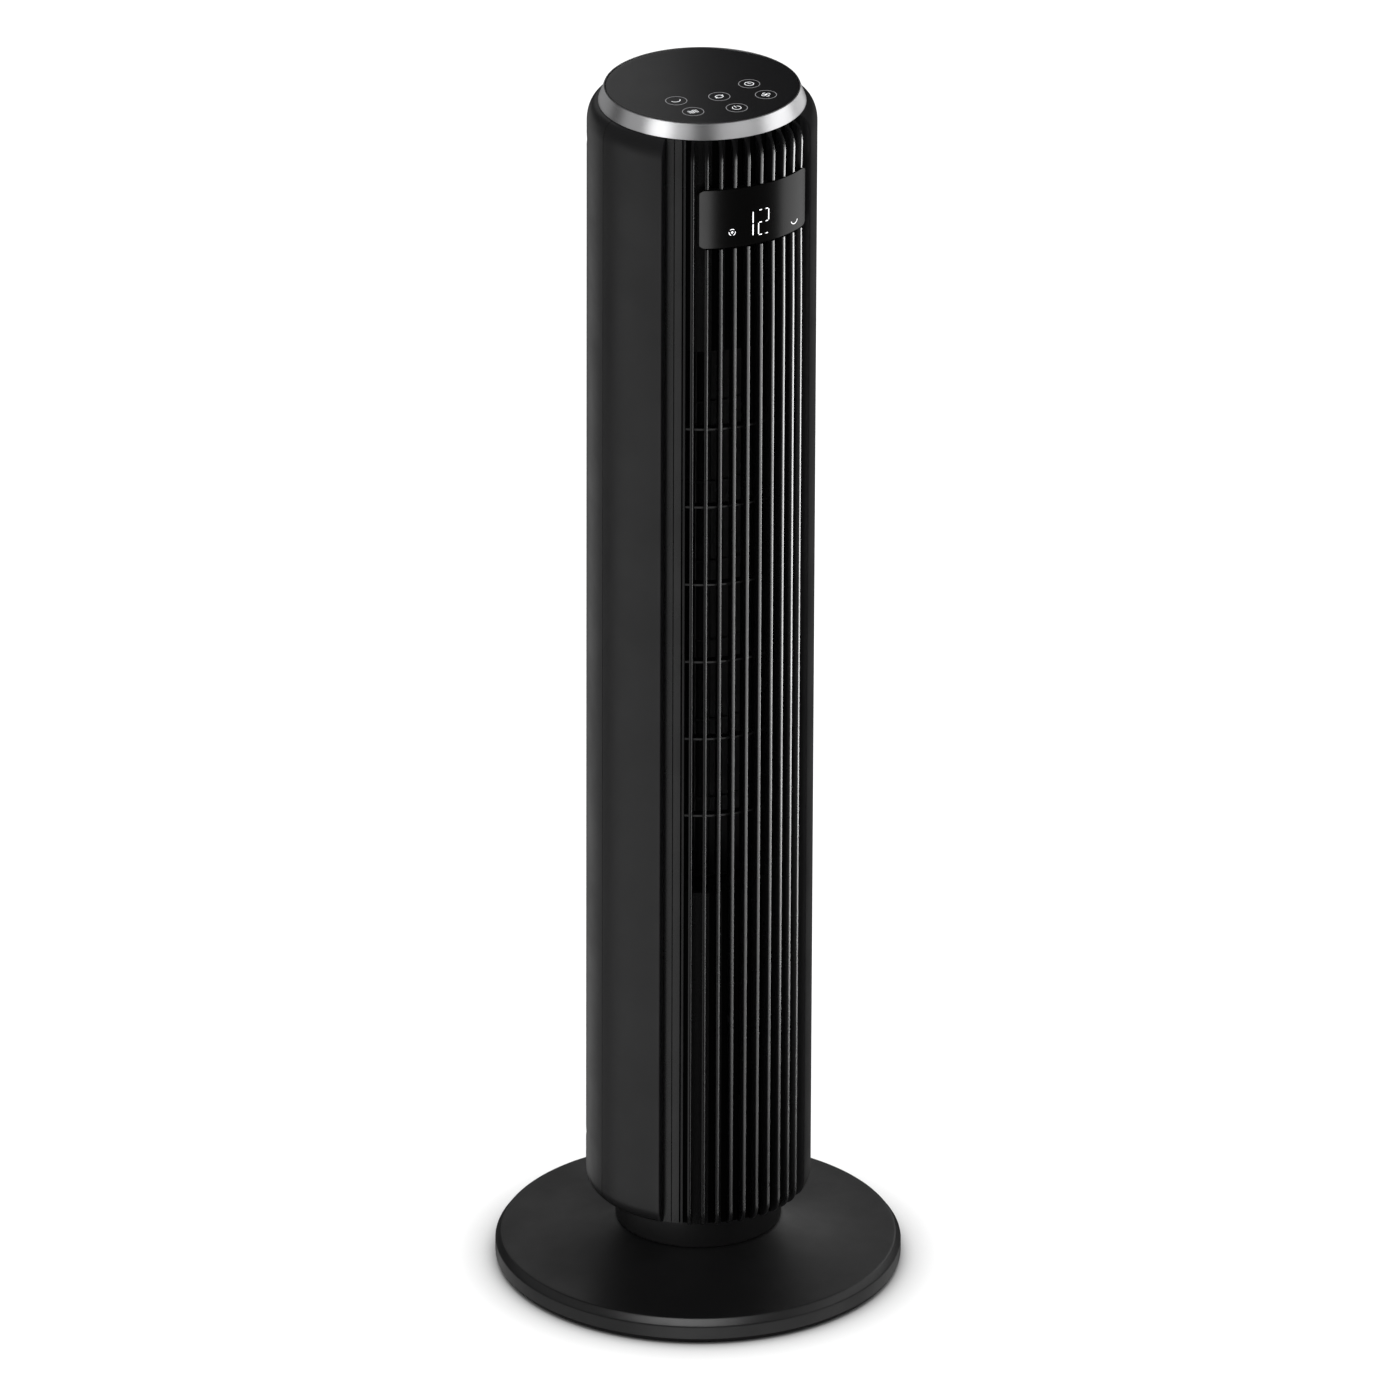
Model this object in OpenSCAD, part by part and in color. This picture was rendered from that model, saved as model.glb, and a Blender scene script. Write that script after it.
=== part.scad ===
// Tower fan: a slim cylindrical fan on a round weighted base.
// Origin: centre of the base on the floor. +Z up, the air outlet faces -Y.
// Bearings round the tower are given as offsets from the front, positive towards +X.

/* [Overall] */
// Height from the floor to the top of the trim ring
total_h = 920; // [900:1:940]
// Outer radius of the tower's shells
body_r = 81.4; // [80:0.1:83]
// Radius of the recessed floor between the outlet blades
floor_r = 73.6; // [73:0.1:74]
// Wall of the moulded shells
wall = 2.4; // [2:0.1:2.8]

/* [Base] */
// Outer radius of the round base
base_r = 147.2; // [140:0.1:155]
// Radius of the fixed neck between the base and the tower
neck_r = 60.1; // [56:0.1:62]
// Height of the neck's foot, where the base's flare ends
neck_z = 34; // [32:0.5:36]
// Height of the tower's lower edge
tower_z = 60; // [60:0.5:62]

/* [Outlet] */
// Angle from one outlet blade to the next
blade_pitch = 7.2; // [7:0.05:7.3]
// Thickness of an outlet blade
blade_t = 2.4; // [2:0.1:3]
// Number of outlet blades
blade_count = 10; // [10:1:10]
// Offset of the window's left edge
window_left = -51.5; // [-53:0.1:-50]
// Offset of the window's right edge
window_right = 38; // [37:0.1:39]
// Lower edge of the open part of the outlet
outlet_z0 = 324.7; // [320:0.1:330]
// Upper edge of the open part of the outlet
outlet_z1 = 746.9; // [742:0.1:750]
// Number of flat ribs across the outlet
rib_count = 6; // [4:1:8]

/* [Display] */
// Half of the angle that the display window spans
display_half = 33; // [32:0.1:33.2]
// Lower edge of the display window
display_z0 = 829; // [826:0.5:832]
// Upper edge of the display window
display_z1 = 873.6; // [870:0.5:876]

/* [Impeller] */
// Outer radius of the cross-flow impeller
impeller_r = 40; // [38:0.5:41]
// Number of impeller blades
impeller_blades = 26; // [20:1:30]
// Radius of the motor and impeller shaft
shaft_r = 3; // [3:0.5:4]

/* [Swing drive] */
// Module of the swing gears
gear_module = 1.25; // [1.25:0.05:1.25]
// Teeth that a full circle of the fixed gear would have
gear_teeth = 48; // [48:1:48]
// Teeth on the motor's pinion
pinion_teeth = 16; // [16:1:16]
// Radius of the pivot tube that the tower turns on
pivot_r = 16; // [15:0.5:17]

/* [Hidden] */
$fn = 96;

run_gap = 0.05;                       // radial clearance of a running fit
slip_gap = 0.1;                       // clearance between parts that lie against each other

// Tower
edge_r = floor_r;                     // radius where both shoulders of the tower end
ring_h = 11.6;                        // height of the trim ring's sloping face
ring_top_r = 69.2;                    // radius of the trim ring's top edge
panel_r = 68.1;                       // radius of the touch panel
tower_top = total_h - ring_h;         // upper edge of the shells
shoulder_low = 12.5;                  // height of the lower shoulder
shoulder_high = 14.9;                 // height of the upper shoulder
seam = 0.4;                           // half of the angle left open where the shells meet
inner_r = body_r - wall;              // inside of the shells
liner_r = floor_r - wall;             // inside of the outlet's floor
band_r = liner_r - slip_gap;          // outside of the front shell's two cross bands
chassis_t = 4;
chassis_z = tower_z + 1.5;            // underside of the bottom chassis
chassis_top = chassis_z + chassis_t;

// Outlet
first_blade = -5 * blade_pitch;
outlet_left = -39.4;
outlet_right = 34.6;

// Duct and impeller
axis_x = 4;                           // impeller axis
axis_y = 6;
duct_z0 = 310;                        // underside of the duct's floor plate
duct_z1 = 756;                        // underside of the duct's cap
plate_t = 4;
impeller_z0 = duct_z0 + 8;
impeller_z1 = duct_z1 - 4;
disc_t = 1.6;
duct_wall = 2;

// Motor
motor_r = 38;
motor_z0 = 252;
motor_z1 = 306;
lug_r = 44;                           // circle that the motor's three lugs stand on
harness = [-46, 46];                  // where the wire harness rises
harness_r = 2.5;

// Swing drive
gear_z = chassis_top + 0.5;
gear_h = 8;
swing_x = gear_module * (gear_teeth + pinion_teeth) / 2 + 0.05;

// Screws that join the shells
screw_x = 68;
screw_seat_y = 30;
screw_rows = [99.6, 880];

// ---------- helpers ----------

// Puts +X at an offset from the tower's front
module at_offset(a) { rotate([0, 0, a - 90]) children(); }

// Sweeps an outline of radius and height from one offset to another
module sweep(a0, a1) { at_offset(a0) rotate_extrude(angle = a1 - a0) children(); }

// A block of a ring, between two radii, two heights and two offsets
module ring_block(r0, r1, z0, z1, a0, a1) {
    sweep(a0, a1) translate([r0, z0]) square([r1 - r0, z1 - z0]);
}

module tube(r_out, r_in, h) {
    difference() {
        cylinder(r = r_out, h = h);
        translate([0, 0, -1]) cylinder(r = r_in, h = h + 2);
    }
}

module ring_of(count, r, start = 0) {
    for (i = [0:count - 1]) rotate([0, 0, start + i * 360 / count]) translate([r, 0, 0]) children();
}

// The tower's outer outline from its lower edge to its upper edge, set in by d
function low_shoulder(d, n = 8) = [for (i = [0:n]) let (t = 90 * i / n)
    [edge_r - d + (body_r - edge_r) * sin(t), tower_z + (shoulder_low + d / 2) * (1 - cos(t))]];
function high_shoulder(d, n = 8) = [for (i = [n:-1:0]) let (t = 90 * i / n)
    [edge_r - d + (body_r - edge_r) * sin(t), tower_top - (shoulder_high + d / 2) * (1 - cos(t))]];
function outline(d) = concat(low_shoulder(d), high_shoulder(d));
function reversed(v) = [for (i = [len(v) - 1:-1:0]) v[i]];

module jacket_outline() { polygon(concat(outline(0), reversed(outline(wall)))); }

function inner_points(v) = [for (i = [1:len(v) - 2]) v[i]];

// A radial plate of thickness t inside the tower's outline, from radius r outwards
module fin(a, t, r, low = [], high = []) {
    ends = concat(len(low) ? low : inner_points(concat(low_shoulder(0), [[body_r, 0]])),
                  len(high) ? high : inner_points(concat([[body_r, 0]], high_shoulder(0))));
    at_offset(a) rotate([90, 0, 0]) linear_extrude(t, center = true)
        polygon(concat([[r, ends[0][1]]], ends, [[r, ends[len(ends) - 1][1]]]));
}

// ---------- base ----------

flare_r = base_r - 3.9;               // inner edge of the rim's chamfer
flare_z = 19.3;
hub_r = neck_r + 0.3;
rim_z = 14;
cover_z = 1.5;                        // lower edge of the base cover
plate_z = 2.5;                        // underside of the base plate
plate_r = base_r - 4.2;
screw_ring = 120;                     // circle of the base screws
foot_ring = 128;                      // circle of the rubber feet

function flare(d, n = 12) = [for (i = [0:n]) let (u = i / n)
    [flare_r - u * (flare_r - hub_r), flare_z - d + (neck_z - flare_z) * pow(u, 2.4)]];

module base_cover() {
    color([0.07, 0.07, 0.075]) difference() {
        union() {
            rotate_extrude() polygon(concat(
                [[base_r - 2.1, cover_z], [base_r, cover_z + 2.5], [base_r, rim_z]],
                flare(0), [[pivot_r + slip_gap, neck_z], [pivot_r + slip_gap, neck_z - 3]],
                reversed(flare(3)), [[base_r - 3, rim_z - 1], [base_r - 3, cover_z]]));
            translate([0, 0, 8]) tube(30, pivot_r + slip_gap, neck_z - 10);
            ring_of(6, screw_ring, 30) translate([0, 0, 5]) cylinder(r = 5, h = 13.5);
        }
        ring_of(6, screw_ring, 30) translate([0, 0, 4]) cylinder(r = 1.8, h = 12);
    }
}

module base_plate() {
    color([0.1, 0.1, 0.1]) translate([0, 0, plate_z]) difference() {
        tube(plate_r, 32, 2.5);
        ring_of(6, screw_ring, 30) translate([0, 0, -1]) cylinder(r = 2.1, h = 5);
        ring_of(6, foot_ring, 0) translate([0, 0, -1]) cylinder(r = 9, h = 2.2);
    }
}

module base_weight() {
    color([0.4, 0.41, 0.42]) translate([0, 0, plate_z + 2.5]) difference() {
        tube(112, 36, 8);
        ring_of(4, 74, 45) translate([0, 0, -1]) cylinder(r = 3, h = 10);
    }
}

module rubber_feet() {
    color([0.15, 0.15, 0.15]) ring_of(6, foot_ring, 0) {
        cylinder(r1 = 8.2, r2 = 9, h = 1.2);
        translate([0, 0, 1.2]) cylinder(r = 9, h = plate_z);
    }
}

module base_screws() {
    color([0.7, 0.7, 0.72]) ring_of(6, screw_ring, 30) {
        translate([0, 0, 0.9]) difference() {
            cylinder(r = 3.6, h = plate_z - 0.9);
            translate([-2.4, -0.4, -1]) cube([4.8, 0.8, 1.8]);
            translate([-0.4, -2.4, -1]) cube([0.8, 4.8, 1.8]);
        }
        translate([0, 0, plate_z]) cylinder(r = 1.8, h = 11);
    }
}

module neck_collar() {
    color([0.06, 0.06, 0.06]) {
        translate([0, 0, neck_z + 0.4]) difference() {
            cylinder(r = neck_r, h = tower_z - neck_z - 1);
            translate([0, 0, -1]) tube(neck_r - 2.6, 22, tower_z - neck_z - 3);
            translate([0, 0, -1]) cylinder(r = pivot_r + slip_gap, h = 30);
        }
    }
}

module pivot_tube() {
    color([0.72, 0.73, 0.75]) {
        translate([0, 0, 3]) tube(pivot_r, pivot_r - 3.5, 75.5);
        translate([0, 0, tower_z - 0.6]) tube(27, pivot_r - 1, 1);
    }
}

module base_nut() {
    color([0.2, 0.2, 0.21]) translate([0, 0, 3.2]) difference() {
        union() {
            cylinder(r = 24, h = 4.8);
            ring_of(6, 24, 0) cylinder(r = 4, h = 4.8);
        }
        translate([0, 0, -1]) cylinder(r = pivot_r, h = 8);
    }
}

module swivel_washer() {
    color([0.9, 0.9, 0.88]) translate([0, 0, tower_z + 0.4]) tube(27, pivot_r + slip_gap, 0.8);
}

module retaining_nut() {
    color([0.7, 0.71, 0.73]) translate([0, 0, gear_z + gear_h]) difference() {
        cylinder(r = 21, h = 3.5, $fn = 6);
        translate([0, 0, -1]) cylinder(r = pivot_r, h = 6);
    }
}

// ---------- swing gears ----------

function involute(rb, a) = [rb * (cos(a) + a * PI / 180 * sin(a)), rb * (sin(a) - a * PI / 180 * cos(a))];
function spin(p, a) = [p[0] * cos(a) - p[1] * sin(a), p[0] * sin(a) + p[1] * cos(a)];
function roll_at(rb, r) = sqrt(pow(r / rb, 2) - 1) * 180 / PI;

// One tooth about +X of a gear with n teeth, from root to tip and back
function tooth(n, slack = 0.12, steps = 4) = let (
    rp = gear_module * n / 2,
    rb = rp * cos(20),
    top = roll_at(rb, rp + 0.9 * gear_module),
    mid = roll_at(rb, rp),
    lean = mid - atan(mid * PI / 180),
    half = 90 / n - slack / rp * 90 / PI + lean,
    flank = [for (i = [0:steps]) spin(involute(rb, top * i / steps), -half)],
    root = [(rp - 1.25 * gear_module - 0.3) * cos(half), -(rp - 1.25 * gear_module - 0.3) * sin(half)]
) concat([root], flank, [for (i = [steps:-1:0]) [flank[i][0], -flank[i][1]]], [[root[0], -root[1]]]);

module gear_outline(n, teeth, start) {
    circle(r = gear_module * n / 2 - 1.25 * gear_module);
    for (i = teeth) rotate(start + i * 360 / n) polygon(tooth(n));
}

module sector_gear() {
    color([0.93, 0.93, 0.9]) translate([0, 0, gear_z]) difference() {
        linear_extrude(gear_h) gear_outline(gear_teeth, [-8:8], 0);
        translate([0, 0, -1]) cylinder(r = pivot_r, h = gear_h + 2);
    }
}

module drive_pinion() {
    color([0.93, 0.93, 0.9]) translate([swing_x, 0, gear_z + 0.4]) {
        linear_extrude(gear_h - 0.8) gear_outline(pinion_teeth, [0:pinion_teeth - 1], 180 / pinion_teeth);
        cylinder(r = 2.5, h = 22);
    }
}

module swing_motor() {
    color([0.75, 0.76, 0.78]) translate([swing_x, 0, 0]) difference() {
        union() {
            translate([0, 0, 78]) cylinder(r = 22, h = 15);
            translate([0, 0, 75]) cylinder(r = 6, h = 4);
            translate([-5, -33, 90]) cube([10, 66, 1.5]);
        }
        translate([0, 0, 70]) cylinder(r = 2.5 + run_gap, h = 20);
        for (s = [-1, 1]) translate([0, s * 28, 88]) cylinder(r = 1.6, h = 6);
    }
}

module swing_motor_screws() {
    color([0.6, 0.6, 0.62]) for (s = [-1, 1]) translate([swing_x, s * 28, 0]) {
        translate([0, 0, 80]) cylinder(r = 1.5, h = 11.5);
        translate([0, 0, 91.5]) cylinder(r = 3, h = 2);
    }
}

// ---------- tower structure ----------

module bottom_chassis() {
    color([0.12, 0.12, 0.12]) difference() {
        union() {
            translate([0, 0, chassis_z]) cylinder(r = liner_r - 0.4, h = chassis_t);
            for (a = [60:60:300]) rotate([0, 0, a])
                translate([34, -1.25, chassis_top - 0.1]) cube([33, 2.5, 6.6]);
            for (s = [-1, 1]) translate([swing_x, s * 28, chassis_top - 0.1])
                cylinder(r = 4, h = 90 - chassis_top + 0.1);
        }
        translate([0, 0, chassis_z - 1]) cylinder(r = pivot_r + run_gap, h = chassis_t + 2);
        for (s = [-1, 1]) translate([swing_x, s * 28, 79]) cylinder(r = 1.5, h = 20);
        // notches that the front shell's two side walls stand in
        for (a = [window_left - 1.9, window_right - 0.35])
            ring_block(band_r - 2.3, body_r, chassis_z - 1, chassis_top + 1, a, a + 2.25);
    }
}

module front_band(z0, z1) { ring_block(band_r - 2, band_r, z0, z1, window_left - 1.4, window_right + 1.4); }

module front_boss(side, z) {
    translate([side * screw_x, 0, z]) rotate([90, 0, 0]) cylinder(r = 5.2, h = 25);
    intersection() {
        translate([side * (screw_x + 6), -17, z]) cube([10, 14, 2.4], center = true);
        cylinder(r = body_r - wall / 2, h = total_h);
    }
}

// The walls that run inwards from the front shell to the outlet's floor
module return_outline() {
    polygon(concat(outline(wall / 2), [[band_r - 2, tower_top], [band_r - 2, tower_z]]));
}

module front_shell() {
    side_a = 1.55;
    color([0.05, 0.05, 0.055]) difference() {
        union() {
            sweep(-90 + seam, window_left) jacket_outline();
            sweep(window_right, 90 - seam) jacket_outline();
            sweep(window_left - side_a, window_left) return_outline();
            sweep(window_right, window_right + side_a) return_outline();
            front_band(chassis_top, 84);
            front_band(884, 899);
            for (s = [-1, 1], z = screw_rows) front_boss(s, z);
        }
        for (s = [-1, 1], z = screw_rows) {
            translate([s * screw_x, 1, z]) rotate([90, 0, 0]) cylinder(r = 1.8, h = 20);
        }
    }
}

slot_pitch = 5.5;                     // angle from one inlet slot to the next
slot_w = 4.6;
slot_cols = 8;                        // columns each side of the middle
slot_rows = 4;
slot_z0 = 318;
slot_step = 109;
slot_h = 101;
inlet_half = 49;                      // half of the angle that the inlet grille spans
inlet_z0 = slot_z0 - 5;
inlet_z1 = slot_z0 + (slot_rows - 1) * slot_step + slot_h + 5;
handle_w = 38;                        // half width of the hand hold
handle_z0 = 790;
handle_z1 = 832;
handle_y = 50;                        // depth line of the hand hold
gland_z = 95;

module rear_shell() {
    color([0.05, 0.05, 0.055]) difference() {
        union() {
            sweep(90 + seam, 270 - seam) jacket_outline();
            for (side = [0, 1]) mirror([side, 0, 0]) difference() {
                ring_block(inner_r - 2.2, inner_r + 1, 76, 890, 84, 96);
                ring_block(inner_r - slip_gap, inner_r + 5, 70, 900, 80, 90.8);
            }
            for (s = [-1, 1], z = screw_rows) intersection() {
                translate([s * screw_x, 60, z]) rotate([90, 0, 0]) cylinder(r = 7, h = 60);
                cylinder(r = body_r - 1, h = total_h);
            }
        }
        for (s = [-1, 1], z = screw_rows) {
            translate([s * screw_x, screw_seat_y, z]) rotate([-90, 0, 0]) cylinder(r = 5, h = 40);
            translate([s * screw_x, 40, z]) rotate([90, 0, 0]) cylinder(r = 2, h = 42);
        }
        ring_block(inner_r - 1, body_r + 1, inlet_z0 - 0.3, inlet_z1 + 0.3,
                   180 - inlet_half - 0.2, 180 + inlet_half + 0.2);
        translate([-handle_w, handle_y, handle_z0]) cube([2 * handle_w, 50, handle_z1 - handle_z0]);
        translate([0, 60, gland_z]) rotate([-90, 0, 0]) cylinder(r = 8, h = 40);
    }
}

// The slotted panel clips into the rear shell with three tabs on each side
module inlet_grille() {
    left = 180 - inlet_half;
    color([0.05, 0.05, 0.055]) {
        difference() {
            ring_block(inner_r, body_r, inlet_z0, inlet_z1, left, 180 + inlet_half);
            for (i = [-slot_cols:slot_cols], k = [0:slot_rows - 1]) at_offset(180 + i * slot_pitch)
                translate([inner_r - 4, -slot_w / 2, slot_z0 + k * slot_step]) cube([10, slot_w, slot_h]);
        }
        for (side = [0, 1], z = [380, 530, 680]) mirror([side, 0, 0]) {
            ring_block(inner_r - 2.3, inner_r + 0.7, z, z + 12, left + 0.4, left + 2.8);
            ring_block(inner_r - 2.2, inner_r - slip_gap, z + 1, z + 11, left - 3, left + 1);
        }
    }
}

module handle_cup() {
    w = 2;
    color([0.07, 0.07, 0.07]) difference() {
        intersection() {
            translate([-handle_w - w, handle_y - w, handle_z0 - w])
                cube([2 * (handle_w + w), 60, handle_z1 - handle_z0 + 2 * w]);
            cylinder(r = inner_r - slip_gap, h = total_h);
        }
        translate([-handle_w, handle_y, handle_z0]) cube([2 * handle_w, 60, handle_z1 - handle_z0]);
    }
}

module cord_gland() {
    color([0.08, 0.08, 0.08]) translate([0, 0, gland_z]) rotate([-90, 0, 0]) difference() {
        union() {
            translate([0, 0, 70]) cylinder(r = 7.9, h = 13);
            translate([0, 0, body_r + 0.1]) cylinder(r1 = 10.5, r2 = 9, h = 2.4);
            translate([0, 0, 70]) cylinder(r = 10.5, h = 6);
        }
        translate([0, 0, 60]) cylinder(r = 3.5, h = 40);
    }
}

module shell_screws() {
    color([0.55, 0.55, 0.57]) for (s = [-1, 1], z = screw_rows)
        translate([s * screw_x, 0, z]) rotate([-90, 0, 0]) {
            translate([0, 0, -18]) cylinder(r = 1.8, h = screw_seat_y + 18);
            translate([0, 0, screw_seat_y]) difference() {
                cylinder(r = 3.6, h = 2.4);
                translate([-2.4, -0.4, 1.2]) cube([4.8, 0.8, 2]);
                translate([-0.4, -2.4, 1.2]) cube([0.8, 4.8, 2]);
            }
        }
}

// ---------- outlet ----------

module outlet_grille() {
    bay = (outlet_z1 - outlet_z0) / (rib_count + 1);
    under = [[body_r, display_z0 - 0.8]];
    over = [[body_r, display_z1 + 0.8]];
    color([0.06, 0.06, 0.065]) {
        difference() {
            ring_block(liner_r, floor_r, tower_z, tower_top, window_left, window_right);
            ring_block(liner_r - 2, floor_r + 2, outlet_z0, outlet_z1, outlet_left, outlet_right);
        }
        fin(first_blade, blade_t, liner_r + 0.6);
        for (i = [1:blade_count - 1]) {
            fin(first_blade + i * blade_pitch, blade_t, liner_r + 0.6, high = under);
            fin(first_blade + i * blade_pitch, blade_t, liner_r + 0.6, low = over);
        }
        for (k = [1:rib_count])
            ring_block(liner_r - 5, floor_r - 1, outlet_z0 + k * bay - 1, outlet_z0 + k * bay + 1,
                       outlet_left - 0.5, outlet_right + 0.5);
    }
}

// ---------- display ----------

lens_r = 80.9;

module display_pod() {
    color([0.04, 0.04, 0.04]) difference() {
        ring_block(floor_r + slip_gap, lens_r - 1.6, display_z0 + 1.2, display_z1 - 1.2,
                   0.6 - display_half, display_half - 0.6);
        translate([-20, -79.8, display_z0 + 5]) cube([40, 5.9, display_z1 - display_z0 - 10]);
    }
}

// A rectangle with round corners, centred, as a list of points
function round_rect(w, h, r, n = 5) = [for (q = [0:3], i = [0:n]) let (a = 90 * (q + i / n))
    [(q == 1 || q == 2 ? -1 : 1) * (w / 2 - r) + r * cos(a), (q > 1 ? -1 : 1) * (h / 2 - r) + r * sin(a)]];

module display_lens() {
    w = 2 * lens_r * sin(display_half);
    color([0.03, 0.03, 0.035, 0.8]) intersection() {
        ring_block(lens_r - 1.5, lens_r, display_z0 - 5, display_z1 + 5, -display_half - 3, display_half + 3);
        translate([0, -40, (display_z0 + display_z1) / 2]) rotate([90, 0, 0])
            linear_extrude(60) polygon(round_rect(w, display_z1 - display_z0, 4));
    }
}

module display_board() {
    z0 = display_z0 + 6;
    h = display_z1 - display_z0 - 12;
    color([0.1, 0.35, 0.2]) translate([-18, -76.2, z0]) cube([36, 1.6, h]);
    color([0.9, 0.9, 0.9]) translate([-11, -78, z0 + 1]) cube([22, 1.8, h - 10]);
}

// ---------- top ----------

module top_ring() {
    color([0.75, 0.76, 0.78]) rotate_extrude() polygon([
        [edge_r, tower_top + 0.2], [ring_top_r + 0.5, total_h - 1], [ring_top_r - 0.1, total_h],
        [panel_r + 0.3, total_h], [panel_r + 0.3, tower_top + 0.2]]);
}

module touch_panel() {
    color([0.02, 0.02, 0.025]) translate([0, 0, total_h - 2.8]) cylinder(r = panel_r, h = 2.4);
}

module touch_board() {
    color([0.1, 0.35, 0.2]) translate([0, 0, total_h - 4.4]) cylinder(r = 60, h = 1.6);
    for (p = [[-30, -37], [0, -46.8], [30, -37], [-30, -14.3], [0, -23.2], [30, -14.3]])
        color([0.75, 0.6, 0.3]) translate([p[0], p[1], total_h - 5.2]) cylinder(r = 6, h = 0.8);
}

module top_frame() {
    z0 = 902;
    color([0.1, 0.1, 0.1]) {
        difference() {
            translate([0, 0, z0]) cylinder(r = panel_r - 0.1, h = total_h - 2.8 - z0);
            translate([0, 0, z0 + 3]) cylinder(r = 60.1, h = 20);
        }
        for (x = [-44, 44], y = [-26, 42]) translate([x, y, 895]) cylinder(r = 3, h = z0 - 895);
        for (a = [0:60:300]) rotate([0, 0, a])
            translate([40, 0, z0 + 2.9]) cylinder(r = 2.5, h = total_h - 7.3 - z0);
    }
}

module control_board() {
    color([0.1, 0.35, 0.2]) translate([-50, -32, 893.4]) cube([100, 82, 1.6]);
    color([0.15, 0.15, 0.15]) translate([-14, -10, 891.4]) cube([20, 20, 2]);
    color([0.9, 0.9, 0.85]) translate([20, 20, 887.4]) cube([18, 8, 6]);
}

// ---------- duct, motor and impeller ----------

module duct_plate(z) {
    translate([0, 0, z]) difference() {
        linear_extrude(plate_t) union() {
            circle(r = band_r - 2.2);
            intersection() {
                circle(r = inner_r - 2.6);
                translate([-100, 4]) square([200, 100]);
            }
        }
        translate([harness[0], harness[1], -1]) cylinder(r = harness_r + 0.5, h = plate_t + 2);
    }
}

module duct_floor() {
    color([0.16, 0.16, 0.17]) difference() {
        union() {
            duct_plate(duct_z0);
            for (x = [-46, 46], y = [-24, 38]) translate([x, y, 208]) cylinder(r = 3, h = duct_z0 - 207.9);
        }
        translate([axis_x, axis_y, duct_z0 - 1]) cylinder(r = 8, h = plate_t + 2);
        translate([axis_x, axis_y, duct_z0 - 1]) ring_of(3, lug_r, 30) cylinder(r = 2, h = plate_t + 2);
    }
}

module duct_cap() {
    color([0.16, 0.16, 0.17]) difference() {
        union() {
            duct_plate(duct_z1);
            translate([axis_x, axis_y, duct_z1 + plate_t - 0.1]) cylinder(r = 11, h = 8.1);
        }
        translate([axis_x, axis_y, duct_z1 - 1]) cylinder(r = 7, h = 20);
    }
}

// The scroll winds away from the impeller, from behind it to the outlet's left edge
function scroll_pt(t, d) = let (a = 80 + 110 * t, r = impeller_r + 3 + 11 * t + d)
    [axis_x + r * cos(a), axis_y + r * sin(a)];
scroll_steps = 14;

module scroll_casing() {
    inner = [for (i = [0:scroll_steps]) scroll_pt(i / scroll_steps, 0)];
    outer = [for (i = [scroll_steps:-1:0]) scroll_pt(i / scroll_steps, duct_wall)];
    lip_r = liner_r - 5.2;
    a = outlet_left - 1;
    lip = [lip_r * sin(a), -lip_r * cos(a)];
    color([0.14, 0.14, 0.15]) translate([0, 0, duct_z0 + plate_t])
        linear_extrude(duct_z1 - duct_z0 - plate_t)
            polygon(concat(inner, [lip, [lip[0] - duct_wall, lip[1]]], outer));
}

module air_tongue() {
    lip_r = liner_r - 5.2;
    a = outlet_right + 1;
    foot = [lip_r * sin(a), -lip_r * cos(a)];
    nose = [axis_x + (impeller_r + 5) * cos(-35), axis_y + (impeller_r + 5) * sin(-35)];
    color([0.14, 0.14, 0.15]) translate([0, 0, duct_z0 + plate_t])
        linear_extrude(duct_z1 - duct_z0 - plate_t) union() {
            polygon([foot, [foot[0] + duct_wall, foot[1]], [nose[0] + duct_wall / 2, nose[1]],
                     [nose[0] - duct_wall / 2, nose[1]]]);
            translate(nose) circle(r = 2.6);
        }
}

module upper_bush() {
    color([0.72, 0.55, 0.3]) translate([axis_x, axis_y, duct_z1 + 1]) tube(7, shaft_r + run_gap, 10);
}

module motor_can() {
    color([0.62, 0.63, 0.65]) translate([axis_x, axis_y, 0]) difference() {
        union() {
            translate([0, 0, motor_z0]) cylinder(r = motor_r, h = motor_z1 - motor_z0);
            ring_of(3, lug_r, 30) translate([0, 0, motor_z1 - 3]) cylinder(r = 7, h = 3);
        }
        translate([0, 0, motor_z0 + 3]) cylinder(r = motor_r - 2, h = motor_z1 - motor_z0 - 6);
        translate([0, 0, motor_z0 - 1]) cylinder(r = 6, h = motor_z1 - motor_z0 + 2);
        ring_of(3, lug_r, 30) translate([0, 0, motor_z1 - 5]) cylinder(r = 2, h = 8);
    }
}

module motor_stator() {
    pole_r = 20.5;
    color([0.55, 0.5, 0.45]) translate([axis_x, axis_y, motor_z0 + 12]) {
        difference() {
            cylinder(r = motor_r - 2, h = 30);
            translate([0, 0, -1]) cylinder(r = 31, h = 32);
        }
        difference() {
            for (a = [0:60:300]) rotate([0, 0, a]) translate([0, -4, 0]) cube([31.5, 8, 30]);
            translate([0, 0, -1]) cylinder(r = pole_r, h = 32);
        }
    }
}

module motor_bushes() {
    color([0.72, 0.55, 0.3]) for (z = [motor_z0, motor_z1 - 6])
        translate([axis_x, axis_y, z]) tube(6, shaft_r + run_gap, 6);
}

module motor_cushions() {
    color([0.2, 0.2, 0.2]) translate([axis_x, axis_y, motor_z1])
        ring_of(3, lug_r, 30) tube(6, 2, duct_z0 - motor_z1);
}

module motor_screws() {
    color([0.6, 0.6, 0.62]) translate([axis_x, axis_y, 0]) ring_of(3, lug_r, 30) {
        translate([0, 0, motor_z1 - 5.4]) cylinder(r = 3.5, h = 2.4);
        translate([0, 0, motor_z1 - 3]) cylinder(r = 2, h = duct_z0 + plate_t - motor_z1 + 3);
    }
}

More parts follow.
